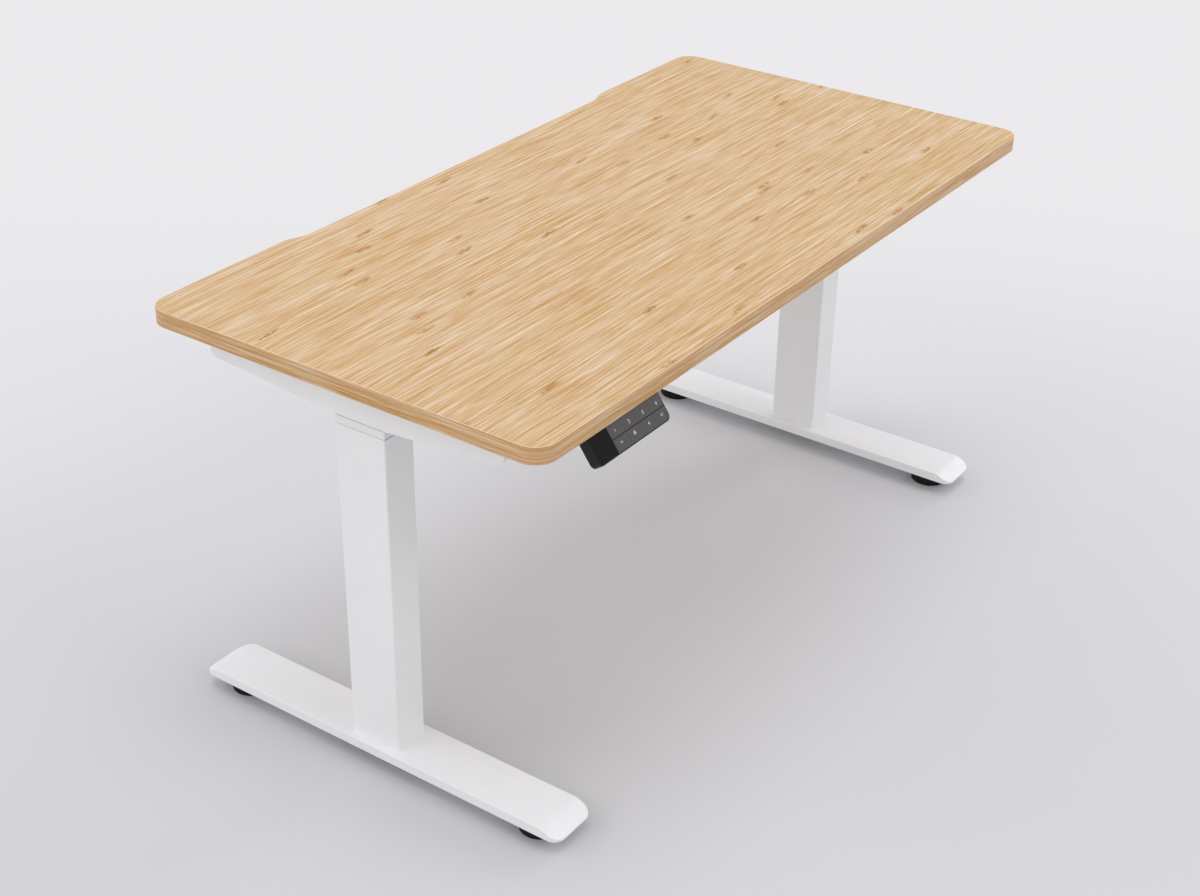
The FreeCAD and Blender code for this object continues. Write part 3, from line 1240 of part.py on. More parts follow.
def build():
    """Build every piece of the desk."""
    fill_sheet()
    make_desktop()
    make_wood_screws()
    for side, sign in SIDES:
        make_foot(side, sign)
        make_foot_bolts(side, sign)
        make_fixed_column(side, sign)
        make_spindle(side, sign)
        make_drive(side, sign)
        make_inner_column(side, sign)
        make_side_bracket(side, sign)
    make_head_bolts()
    for end, sign in ENDS:
        make_cross_beam(end, sign)
    make_beam_bolts()
    make_control_tray()
    make_control_lid()
    make_control_board()
    make_sockets()
    make_keypad_case()
    make_keys()
    DOC.recompute()


build()
PIECES = [DOC.getObject(label) for label in node_labels()]
check_document(PIECES)
os.makedirs("parts", exist_ok=True)
for piece in PIECES:
    piece.Shape.exportStep(f"parts/{piece.Label}.step")
    print(piece.Label, len(piece.Shape.Solids), round(piece.Shape.Volume / 1000, 2), "cm3")
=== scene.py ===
"""Looks of a height adjustable standing desk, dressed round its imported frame.

The frame gives every shape and place. Each sub-assembly below is a class that finishes its own
parts of the frame and makes the small pieces that sit on them, such as the marks on the keys.
"""

import logging
import math
from collections.abc import Sequence
from dataclasses import dataclass, field
from enum import Enum
from typing import Protocol

import bmesh
import bpy
from mathutils import Matrix, Vector


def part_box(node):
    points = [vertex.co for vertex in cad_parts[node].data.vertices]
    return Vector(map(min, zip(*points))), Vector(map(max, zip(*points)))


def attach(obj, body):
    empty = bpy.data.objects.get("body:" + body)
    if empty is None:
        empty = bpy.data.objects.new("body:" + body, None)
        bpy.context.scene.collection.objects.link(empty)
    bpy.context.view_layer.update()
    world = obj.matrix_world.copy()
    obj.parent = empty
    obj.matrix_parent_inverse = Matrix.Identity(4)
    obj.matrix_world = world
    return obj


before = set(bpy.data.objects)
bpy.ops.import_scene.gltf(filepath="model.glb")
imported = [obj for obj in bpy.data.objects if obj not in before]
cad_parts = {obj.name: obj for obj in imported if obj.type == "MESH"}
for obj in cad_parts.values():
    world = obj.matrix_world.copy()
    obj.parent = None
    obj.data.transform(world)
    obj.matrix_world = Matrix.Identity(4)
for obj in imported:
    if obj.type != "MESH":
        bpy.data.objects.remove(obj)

LOG = logging.getLogger("standing_desk")
SEAM_SHADOW_HEIGHT = 0.0005  # how tall the painted shadow in the seam under a guide collar is, in metres
NOISE_RANGE = (0.3, 0.7)  # what nearly all of a noise pattern's values lie between
ARC_STEPS = 12  # the straight pieces that an arc of a key's mark is drawn with
FACE_SLACK = 0.00001  # how far under a key's highest point its flat face may lie, in metres
BAND_START = 3.0  # how far the band's fibres lie from the board's own in the noise, in metres
SWAY_WIDTH = 0.007  # how far the bamboo's fibres sway, in metres
NODE_SHIFT = 7.0  # how many pitches the nodes of a lane may be moved along it
LAMP_DISTANCE = 4.0  # how far off a lamp hangs, in metres; its light is the same from anywhere
Colour = tuple[float, float, float]
Span = tuple[float, float]
Material = bpy.types.Material
Socket = bpy.types.NodeSocket
Feed = Socket | float | Sequence[float]


def direction(turn: float, rise: float) -> Vector:
    """Finds the direction from the desk to something that stands or hangs round it.

    Args:
        turn: Which way round the desk it is, in degrees from straight in front.
        rise: How high it is, in degrees.

    Returns:
        The direction, one metre long.
    """
    turn, rise = math.radians(turn), math.radians(rise)
    return Vector((math.sin(turn) * math.cos(rise), -math.cos(turn) * math.cos(rise), math.sin(rise)))


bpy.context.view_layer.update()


class Side(Enum):
    """The two ends of the desk, as seen by someone who sits at it."""

    LEFT = "left"
    RIGHT = "right"


class Reach(Enum):
    """The two ends of a foot."""

    FRONT = "front"
    REAR = "rear"


class Symbol(Enum):
    """What is printed on a key."""

    ONE = "one"
    TWO = "two"
    THREE = "three"
    RAISE = "raise"
    LOWER = "lower"
    LOCK = "lock"
    STORE = "store"
    TIMER = "timer"


# --------------------------------------------------------------------------- finishes


class Recipe:
    """The nodes of one procedural material, all leading to one Principled shader."""

    def __init__(self, name: str) -> None:
        """Starts a material.

        Args:
            name: The material's name.
        """
        self.material = bpy.data.materials.new(name)
        self.material.use_nodes = True
        self.tree = self.material.node_tree
        self.shader = self.tree.nodes["Principled BSDF"]

    def feed(self, socket: Socket, value: Feed) -> None:
        """Links another node to a socket, or sets the socket's own value.

        Args:
            socket: The input to feed.
            value: An output socket, a number or a row of numbers.
        """
        if isinstance(value, Socket):
            self.tree.links.new(value, socket)
        else:
            socket.default_value = value

    def node(self, kind: str, inputs: dict[str | int, Feed], **settings: object) -> bpy.types.Node:
        """Adds a node.

        Args:
            kind: The node's type, without its ShaderNode start.
            inputs: What feeds each of its inputs, by name or number.
            settings: The node's other properties.

        Returns:
            The node.
        """
        made = self.tree.nodes.new("ShaderNode" + kind)
        for name, value in settings.items():
            setattr(made, name, value)
        for key, value in inputs.items():
            self.feed(made.inputs[key], value)
        return made

    def calc(self, operation: str, *values: Feed) -> Socket:
        """Adds a Math node.

        Args:
            operation: Its operation.
            values: Its inputs, in order.

        Returns:
            Its result.
        """
        return self.node("Math", dict(enumerate(values)), operation=operation).outputs[0]

    def times(self, value: Feed, factor: float) -> Socket:
        """Multiplies a value by a number."""
        return self.calc("MULTIPLY", value, factor)

    def blend(self, share: Socket, first: Socket, second: Socket) -> Socket:
        """Goes from the first value to the second as the share goes from 0 to 1."""
        return self.calc("MULTIPLY_ADD", self.calc("SUBTRACT", second, first), share, first)

    def place(self) -> tuple[Socket, Socket, Socket]:
        """Finds the point being coloured.

        Returns:
            Its x, y and z, in metres in the desk's frame.
        """
        coordinates = self.node("TexCoord", {}).outputs["Object"]
        apart = self.node("SeparateXYZ", {0: coordinates})
        return apart.outputs[0], apart.outputs[1], apart.outputs[2]

    def facing(self) -> tuple[Socket, Socket, Socket]:
        """Finds which way the surface faces.

        Returns:
            How far it faces along x, y and z, each from 0 to 1 whichever way along it is.
        """
        normal = self.node("TexCoord", {}).outputs["Normal"]
        apart = self.node("SeparateXYZ", {0: normal})
        return tuple(self.calc("ABSOLUTE", apart.outputs[axis]) for axis in range(3))

    def point(self, x: Feed, y: Feed, z: Feed) -> Socket:
        """Joins three numbers into one point."""
        return self.node("CombineXYZ", {0: x, 1: y, 2: z}).outputs[0]

    def scaled(self, x: float = 1.0, y: float = 1.0, z: float = 1.0) -> Socket:
        """Gives the place being coloured with each axis stretched by its own factor."""
        coordinates = self.node("TexCoord", {}).outputs["Object"]
        return self.node("Mapping", {"Vector": coordinates, "Scale": (x, y, z)}).outputs[0]

    def noise(
        self, place: Socket, scale: float = 1.0, detail: float = 2.0, roughness: float = 0.5
    ) -> Socket:
        """Adds a noise pattern.

        Args:
            place: Where it is read.
            scale: How many swings it makes in one unit.
            detail: How many finer layers it has.
            roughness: How strong the finer layers are.

        Returns:
            Its value, from 0 to 1 and mostly near the middle.
        """
        inputs = {"Vector": place, "Scale": scale, "Detail": detail, "Roughness": roughness}
        return self.node("TexNoise", inputs).outputs[0]

    def chance(self, place: Socket) -> Socket:
        """Gives an even random number from 0 to 1 for each place."""
        return self.node("TexWhiteNoise", {"Vector": place}, noise_dimensions="3D").outputs["Value"]

    def step(
        self, value: Feed, low: float, high: float, to_low: float = 0.0, to_high: float = 1.0
    ) -> Socket:
        """Turns a value's rise from low to high into a smooth step.

        Args:
            value: The value.
            low: Where the step starts.
            high: Where it ends.
            to_low: What it gives at and before its start.
            to_high: What it gives from its end.

        Returns:
            The stepped value.
        """
        inputs = {0: value, 1: low, 2: high, 3: to_low, 4: to_high}
        return self.node("MapRange", inputs, interpolation_type="SMOOTHSTEP").outputs[0]

    def spread(self, pattern: Socket, to_low: float = 0.0, to_high: float = 1.0) -> Socket:
        """Spreads a noise pattern's usual values over a wider range.

        Args:
            pattern: The noise.
            to_low: What its low values become.
            to_high: What its high values become.

        Returns:
            The spread pattern.
        """
        return self.step(pattern, *NOISE_RANGE, to_low, to_high)

    def mix(self, share: Feed, first: Feed, second: Feed, kind: str = "MIX") -> Socket:
        """Mixes two colours.

        Args:
            share: How much of the second there is, from 0 to 1.
            first: The first colour.
            second: The second colour.
            kind: How they are mixed.

        Returns:
            The mixed colour.
        """
        def opaque(colour: Feed) -> Feed:
            """Adds the fourth number that a colour socket wants."""
            return colour if isinstance(colour, Socket) else (*colour, 1.0)

        inputs = {0: share, 6: opaque(first), 7: opaque(second)}
        return self.node("Mix", inputs, data_type="RGBA", blend_type=kind).outputs[2]

    def bump(self, height: Socket, depth: float, strength: float = 1.0) -> None:
        """Raises the surface by a pattern.

        Args:
            height: The pattern, from 0 to 1.
            depth: How high 1 is, in metres.
            strength: How much of it shows.
        """
        inputs = {"Strength": strength, "Distance": depth, "Height": height}
        self.feed(self.shader.inputs["Normal"], self.node("Bump", inputs).outputs[0])

    def finish(self, **inputs: Feed) -> Material:
        """Feeds the shader's inputs.

        Args:
            inputs: What feeds each, by its name in small letters with low lines.

        Returns:
            The finished material.
        """
        names = {socket.name.lower().replace(" ", "_"): socket for socket in self.shader.inputs}
        for name, value in inputs.items():
            colour = name.endswith("color") and not isinstance(value, Socket)
            self.feed(names[name], (*value, 1.0) if colour else value)
        return self.material


@dataclass(frozen=True)
class FibreLayer:
    """One layer of long streaks in the bamboo.

    Attributes:
        lengthwise: How many swings it makes in a metre along the fibres.
        crosswise: How many it makes in a metre across them.
        depth: Which of the endless noise layers it is read from.
        start: The noise at which a streak starts.
        full: The noise at which it is at its strongest.
        strength: How much of its colour shows there.
        colour: Its colour.
    """

    lengthwise: float
    crosswise: float
    depth: float
    start: float
    full: float
    strength: float
    colour: Colour


@dataclass(frozen=True)
class Spot:
    """A soft oval patch on the scar of a node.

    Attributes:
        length: Its half length, in metres.
        width: Its half width, in metres.
        share: How much of its colour shows.
        ahead: How far along from the scar's middle it lies, in metres.
        up: How far across from it, in metres.
    """

    length: float
    width: float
    share: float = 1.0
    ahead: float = 0.0
    up: float = 0.0


class BoardGrain:
    """Where a point of the board lies among its fibres, which run round the board on its band.

    Attributes:
        make: The recipe of the board's material.
        height: How high the point lies, in metres.
        level: How level the surface is there, from 0 to 1.
        flat: 1 on the board's faces and 0 on its band.
        round_board: How far round the board it lies, in metres.
        along: How far along the fibres it lies, in metres.
        wavy: How far across them, in metres, as they sway.
    """

    def __init__(self, make: Recipe) -> None:
        """Works out the point's place.

        Args:
            make: The recipe of the board's material.
        """
        self.make = make
        x, y, self.height = make.place()
        self.level = make.facing()[2]
        self.flat = make.step(self.level, low=0.55, high=0.8)
        self.round_board = make.calc("ADD", x, y)
        self.along = make.blend(self.flat, self.round_board, x)
        across = make.blend(self.flat, make.calc("ADD", self.height, BAND_START), y)
        swings = make.point(make.times(self.along, 2.2), make.times(across, 11.0), 0.0)
        sway = make.calc("SUBTRACT", make.noise(swings, detail=1.0), 0.5)
        self.wavy = make.calc("ADD", across, make.times(sway, SWAY_WIDTH))

    def fibres(self, lengthwise: float, crosswise: float, depth: float) -> Socket:
        """Makes a noise that is drawn out along the fibres.

        Args:
            lengthwise: Its swings in a metre along them.
            crosswise: Its swings in a metre across them.
            depth: Which of the endless noise layers it is read from.

        Returns:
            Its value.
        """
        make = self.make
        place = make.point(make.times(self.along, lengthwise), make.times(self.wavy, crosswise), depth)
        return make.noise(place, detail=3.0, roughness=0.55)


@dataclass(frozen=True)
class Bamboo:
    """Lacquered bamboo board: fibre streaks along it, node scars, and a banded edge.

    Attributes:
        middle: Its usual colour.
        cream: The colour of its pale fibres.
        scar: The colour of a node's scar.
        wear_and_highlight: The pale colour of its eased corners, a painted highlight.
        lane: How wide the lane is that a node lies in, in metres.
        node_pitch: How far apart the nodes of one lane are, in metres.
        scarred: The share of the nodes that show, from 0 to 1.
        glows: The pale patches before and behind a scar.
        shadow: The faint brown patch under it.
        core: Where its dark flecks lie.
        layers: The board's streaks, from the first laid to the last.
        band: What the band's usual colour is, as a multiple of the board's.
        band_layers: The band's streaks, with such colours too.
    """

    middle: Colour = (0.645, 0.426, 0.236)
    cream: Colour = (0.740, 0.585, 0.400)
    scar: Colour = (0.385, 0.152, 0.004)
    wear_and_highlight: Colour = (0.860, 0.720, 0.540)
    lane: float = 0.0125
    node_pitch: float = 0.36
    scarred: float = 0.18
    glows: tuple[Spot, Spot] = (
        Spot(0.042, 0.0034, 0.70, ahead=-0.030, up=-0.0018),
        Spot(0.026, 0.0026, 0.70, ahead=0.024, up=0.0022),
    )
    shadow: Spot = Spot(0.052, 0.0030, 0.30)
    core: Spot = Spot(0.023, 0.0064)
    layers: tuple[FibreLayer, ...] = (
        FibreLayer(1.0, 20.0, 7.0, 0.40, 0.62, 0.50, (0.575, 0.365, 0.170)),
        FibreLayer(1.4, 32.0, 1.0, 0.42, 0.62, 0.75, (0.675, 0.470, 0.305)),
        FibreLayer(1.4, 40.0, 13.0, 0.44, 0.64, 0.75, (0.610, 0.425, 0.178)),
        FibreLayer(2.4, 95.0, 21.0, 0.48, 0.62, 0.66, (0.735, 0.575, 0.392)),
        FibreLayer(3.0, 120.0, 33.0, 0.49, 0.63, 0.74, (0.545, 0.312, 0.094)),
        FibreLayer(5.0, 260.0, 47.0, 0.51, 0.63, 0.78, (0.755, 0.630, 0.468)),
        FibreLayer(4.6, 300.0, 59.0, 0.50, 0.63, 0.86, (0.478, 0.220, 0.030)),
        FibreLayer(8.0, 165.0, 65.0, 0.57, 0.65, 0.62, (0.525, 0.285, 0.068)),
        FibreLayer(12.0, 720.0, 71.0, 0.46, 0.65, 0.56, (0.500, 0.248, 0.046)),
        FibreLayer(13.0, 780.0, 83.0, 0.47, 0.66, 0.55, (0.770, 0.660, 0.510)),
    )
    band: Colour = (0.98, 0.91, 0.83)
    band_layers: tuple[FibreLayer, ...] = (
        FibreLayer(2.2, 120.0, 5.0, 0.36, 0.64, 1.0, (1.05, 1.00, 0.96)),
        FibreLayer(5.0, 620.0, 9.0, 0.36, 0.66, 0.60, (0.94, 0.85, 0.76)),
    )

    def streaked(self, grain: BoardGrain) -> Feed:
        """Lays the streaks over the board's usual colour.

        Args:
            grain: Where the point lies on the board.

        Returns:
            The colour.
        """
        make = grain.make
        colour = self.middle
        for layer in self.layers:
            streak = grain.fibres(layer.lengthwise, layer.crosswise, layer.depth)
            share = make.step(streak, layer.start, layer.full, 0.0, layer.strength)
            colour = make.mix(share, colour, layer.colour)
        return colour

    def scarred_over(self, grain: BoardGrain, colour: Feed) -> Socket:
        """Lays the nodes' scars over a colour: slanted brown flecks between pale patches.

        Args:
            grain: Where the point lies on the board.
            colour: The colour.

        Returns:
            The colour with the scars.
        """
        make = grain.make
        lanes = make.calc("DIVIDE", grain.wavy, self.lane)
        row = make.calc("FLOOR", lanes)
        # The bare numbers in the points that chances are drawn for only keep the draws apart.
        start = make.times(make.chance(make.point(row, 3.0, 5.0)), NODE_SHIFT)
        run = make.calc("ADD", make.calc("DIVIDE", grain.along, self.node_pitch), start)
        cell = make.calc("FLOOR", run)
        one = make.chance(make.point(row, cell, 1.0))
        other = make.chance(make.point(row, cell, 9.0))
        chosen = make.calc("MULTIPLY", make.calc("LESS_THAN", one, self.scarred), grain.flat)
        force = make.step(one, low=0.0, high=self.scarred, to_low=1.0, to_high=0.7)
        shown = make.calc("MULTIPLY", chosen, force)
        # A node lies in the middle half of its stretch, and slants by -3.0 to 0.4.
        middle = make.calc("MULTIPLY_ADD", other, 0.5, 0.25)
        lean = make.calc("MULTIPLY_ADD", other, 3.4, -3.0)
        here = make.times(make.calc("SUBTRACT", make.calc("FRACT", run), middle), self.node_pitch)
        beside = make.times(make.calc("SUBTRACT", make.calc("FRACT", lanes), 0.5), self.lane)
        slanted = make.calc("ADD", here, make.calc("MULTIPLY", beside, lean))

        def patch(spot: Spot) -> Socket:
            """Lays a patch.

            Args:
                spot: The patch.

            Returns:
                How much of its colour shows, from 0 to 1.
            """
            far = make.calc("DIVIDE", make.calc("SUBTRACT", slanted, spot.ahead), spot.length)
            wide = make.calc("DIVIDE", make.calc("SUBTRACT", beside, spot.up), spot.width)
            apart = make.calc("MULTIPLY_ADD", far, far, make.calc("MULTIPLY", wide, wide))
            faded = make.step(apart, low=0.15, high=1.0, to_low=spot.share, to_high=0.0)
            return make.calc("MULTIPLY", faded, shown)

        pale = make.calc("MAXIMUM", *(patch(glow) for glow in self.glows))
        colour = make.mix(pale, colour, self.cream)
        colour = make.mix(patch(self.shadow), colour, self.scar)
        flecks = make.step(grain.fibres(75.0, 430.0, 97.0), low=0.43, high=0.53)
        return make.mix(make.calc("MULTIPLY", patch(self.core), flecks), colour, self.scar)

    def edged(self, grain: BoardGrain, colour: Feed) -> Socket:
        """Makes the band on the edge browner and layered, and paints a highlight on its eased corners.

        Args:
            grain: Where the point lies on the board.
            colour: The colour.

        Returns:
            The colour with the edge.
        """
        make = grain.make
        band = self.band
        for layer in self.band_layers:
            ahead = make.times(grain.round_board, layer.lengthwise)
            streak = make.noise(make.point(ahead, make.times(grain.height, layer.crosswise), layer.depth))
            share = make.step(streak, layer.start, layer.full, 0.0, layer.strength)
            band = make.mix(share, band, layer.colour)
        colour = make.mix(make.calc("SUBTRACT", 1.0, grain.flat), colour, band, "MULTIPLY")
        # Painted highlight: the top part of the rounded arris, just short of the flat top, is mixed
        # towards a pale colour.
        begun = make.step(grain.level, low=0.82, high=0.94, to_high=0.85)
        left = make.step(grain.level, low=0.985, high=1.0, to_low=1.0, to_high=0.0)
        return make.mix(make.calc("MULTIPLY", begun, left), colour, self.wear_and_highlight)

    def material(self) -> Material:
        """Makes the material.

        Returns:
            The material.
        """
        make = Recipe("bamboo_board")
        grain = BoardGrain(make)
        colour = self.edged(grain, self.scarred_over(grain, self.streaked(grain)))
        make.bump(grain.fibres(8.0, 700.0, 103.0), depth=0.00010, strength=0.35)
        roughness = make.spread(grain.fibres(8.0, 500.0, 91.0), to_low=0.38, to_high=0.48)
        return make.finish(base_color=colour, roughness=roughness, specular_ior_level=0.3)


@dataclass(frozen=True)
class PowderCoat:
    """Satin powder coat: a fine orange peel over one even colour, with painted light tinting its level
    faces.

    Attributes:
        name: The material's name.
        colour: The colour.
        shade: The colour where the coat lies thicker.
        peel: How wide one dimple is, in metres.
        depth: How deep a dimple is, in metres.
        gloss: The roughness of its smoothest and dullest places.
        painted_top_tint: What its colour is multiplied by on level faces, a painted tint of the light
            that falls on them.
    """

    name: str
    colour: Colour
    shade: Colour
    peel: float = 0.0011
    depth: float = 0.000012
    gloss: Span = (0.34, 0.44)
    painted_top_tint: Colour = (1.0, 1.0, 1.0)

    def material(self) -> Material:
        """Makes the material.

        Returns:
            The material.
        """
        make = Recipe(self.name)
        place = make.scaled()
        cloud = make.noise(place, scale=9.0, detail=3.0)
        peel = make.noise(place, 1.0 / self.peel)
        colour = make.mix(make.spread(cloud), self.colour, self.shade)
        # Painted light: level faces are tinted bluer than the sides, for the colour of the light that
        # falls on them.
        level = make.step(make.facing()[2], low=0.3, high=0.9)
        colour = make.mix(level, colour, self.painted_top_tint, "MULTIPLY")
        make.bump(peel, self.depth, strength=0.6)
        return make.finish(base_color=colour, roughness=make.spread(peel, *self.gloss))


@dataclass(frozen=True)
class PlatedSteel:
    """Bare or plated steel: cloudy plating over fine drawn lines.

    Attributes:
        name: The material's name.
        colour: The plating's colour.
        tint: The colour of its thin places.
        gloss: The roughness of its smoothest and dullest places.
        thread_pitch: The pitch of a rolled thread that the surface shows, or 0 for none, in metres.
    """

    name: str
    colour: Colour
    tint: Colour
    gloss: Span = (0.26, 0.42)
    thread_pitch: float = 0.0

    def material(self) -> Material:
        """Makes the material.

        Returns:
            The material.
        """
        make = Recipe(self.name)
        cloud = make.noise(make.scaled(), scale=160.0, detail=3.0)
        drawn = make.noise(make.scaled(x=220.0, y=220.0, z=2200.0))
        if self.thread_pitch:
            turn = make.times(make.place()[2], math.tau / self.thread_pitch)
            height = make.calc("MULTIPLY_ADD", make.calc("SINE", turn), 0.5, 0.5)
            make.bump(height, depth=self.thread_pitch / 4, strength=0.9)
        else:
            make.bump(drawn, depth=0.00002, strength=0.4)
        colour = make.mix(make.step(cloud, low=0.35, high=0.68), self.colour, self.tint)
        return make.finish(base_color=colour, metallic=1.0, roughness=make.spread(drawn, *self.gloss))


@dataclass(frozen=True)
class MouldedPlastic:
    """Moulded plastic or rubber with a spark-eroded texture.

    Attributes:
        name: The material's name.
        colour: The colour.
        shade: The colour in the hollows of the texture.
        grain: How wide one grain of the texture is, in metres.
        depth: How deep it is, in metres.
        gloss: The roughness of its smoothest and dullest places.
        shine: How strongly it reflects, 0.5 for plain plastic.
    """

    name: str
    colour: Colour
    shade: Colour
    grain: float = 0.00045
    depth: float = 0.00002
    gloss: Span = (0.42, 0.58)
    shine: float = 0.5

    def material(self) -> Material:
        """Makes the material.

        Returns:
            The material.
        """
        make = Recipe(self.name)
        place = make.scaled()
        grain = make.noise(place, 1.0 / self.grain, roughness=0.6)
        cloud = make.step(make.noise(place, scale=45.0), low=0.2, high=0.8, to_low=0.6)
        share = make.calc("MULTIPLY", make.step(grain, low=0.35, high=0.65), cloud)
        colour = make.mix(share, self.shade, self.colour)
        make.bump(grain, self.depth, strength=0.5)
        roughness = make.spread(grain, *self.gloss)
        return make.finish(base_color=colour, roughness=roughness, specular_ior_level=self.shine)


@dataclass(frozen=True)
class SeamShadowCollar:
    """White moulded collar, with a painted shadow along its lower edge, in the seam where it sits on the
    column.

    Attributes:
        seam_shadow_top: How high the painted shadow reaches, in metres above the floor.
        colour: The collar's colour.
        shade: Its colour in the hollows of its texture.
        seam_shadow: The painted shadow's colour.
        seam_shadow_end: Its colour where it faces along the desk, paler there as painted light.
        shadow_rise: How much higher the painted shadow reaches on the other faces, in metres.
        blur: How far under and over its top the painted shadow fades, in metres.
        grain: How wide one grain of the texture is, in metres.
    """

    seam_shadow_top: float
    colour: Colour = (0.850, 0.852, 0.865)
    shade: Colour = (0.815, 0.817, 0.830)
    seam_shadow: Colour = (0.030, 0.030, 0.031)
    seam_shadow_end: Colour = (0.640, 0.640, 0.645)
    shadow_rise: float = 0.0004
    blur: float = 0.0001
    grain: float = 0.00045

    def material(self) -> Material:
        """Makes the material.

        Returns:
            The material.
        """
        make = Recipe("white_collar")
        grain = make.noise(make.scaled(), 1.0 / self.grain, roughness=0.6)
        white = make.mix(make.step(grain, low=0.35, high=0.65), self.shade, self.colour)
        # Painted shadow in the seam under the collar: dark on the other faces, paler on the ends that
        # face along the desk, and reaching higher on the other faces.
        endwise = make.step(make.facing()[0], low=0.3, high=0.6)
        height = make.calc("MULTIPLY_ADD", endwise, self.shadow_rise, make.place()[2])
        top = self.seam_shadow_top + self.shadow_rise
        above = make.step(height, top - self.blur, top + self.blur)
        colour = make.mix(above, make.mix(endwise, self.seam_shadow, self.seam_shadow_end), white)
        make.bump(grain, depth=0.00002, strength=0.5)
        return make.finish(base_color=colour, roughness=make.spread(grain, to_low=0.42, to_high=0.58))


@dataclass(frozen=True)
class PolishedWindow:
    """A polished black window, with the faint cloudiness of a wiped surface.

    Attributes:
        colour: The colour.
        shade: The colour of its darkest places.
    """

    colour: Colour = (0.0044, 0.0041, 0.0043)
    shade: Colour = (0.0034, 0.0031, 0.0033)

    def material(self) -> Material:
        """Makes the material.

        Returns:
            The material.
        """
        make = Recipe("display_black")
        wiped = make.noise(make.scaled(x=60.0, y=25.0, z=25.0), detail=3.0)
        colour = make.mix(make.spread(wiped), self.colour, self.shade)
        roughness = make.spread(wiped, to_low=0.12, to_high=0.22)
        return make.finish(base_color=colour, roughness=roughness, specular_ior_level=0.14)


@dataclass(frozen=True)
class CircuitBoard:
    """A populated board: a coloured mask over copper runs, with bare pads.

    Attributes:
        name: The material's name.
        mask: The mask's colour.
        run: Its colour over copper.
        pad: The colour of a bare pad.
    """

    name: str = "circuit_board_green"
    mask: Colour = (0.012, 0.085, 0.035)
    run: Colour = (0.030, 0.155, 0.060)
    pad: Colour = (0.62, 0.50, 0.26)

    def material(self) -> Material:
        """Makes the material.

        Returns:
            The material.
        """
        make = Recipe(self.name)
        inputs = {"Vector": make.scaled(), "Scale": 260.0}
        cells = make.node("TexVoronoi", inputs, distance="MANHATTAN", feature="F1")
        seams = make.node("TexVoronoi", inputs, feature="DISTANCE_TO_EDGE")
        runs = make.step(seams.outputs["Distance"], low=0.05, high=0.09, to_low=1.0, to_high=0.0)
        pads = make.step(cells.outputs["Distance"], low=0.10, high=0.14, to_low=1.0, to_high=0.0)
        colour = make.mix(pads, make.mix(runs, self.mask, self.run), self.pad)
        roughness = make.step(runs, low=0.0, high=1.0, to_low=0.28, to_high=0.22)
        return make.finish(base_color=colour, roughness=roughness)


@dataclass(frozen=True)
class PrintedMark:
    """Off-white ink printed on a key.

    Attributes:
        colour: The ink's colour.
        wear_and_highlight: Its colour where it has thinned with wear.
    """

    colour: Colour = (0.80, 0.79, 0.78)
    wear_and_highlight: Colour = (0.68, 0.67, 0.66)

    def material(self) -> Material:
        """Makes the material.

        Returns:
            The material.
        """
        make = Recipe("key_ink")
        wear = make.noise(make.scaled(), scale=1500.0, detail=3.0)
        colour = make.mix(make.step(wear, low=0.45, high=0.75), self.colour, self.wear_and_highlight)
        return make.finish(base_color=colour, roughness=make.spread(wear, to_low=0.45, to_high=0.6))


class Finish(Protocol):
    """Anything that can make a material."""

    def material(self) -> Material:
        """Makes the material."""


def made_by(finish: Finish) -> Material:
    """Declares a material that a finish makes when the book of finishes is opened.

    Args:
        finish: The finish.

    Returns:
        The book's field.
    """
    return field(default_factory=finish.material)


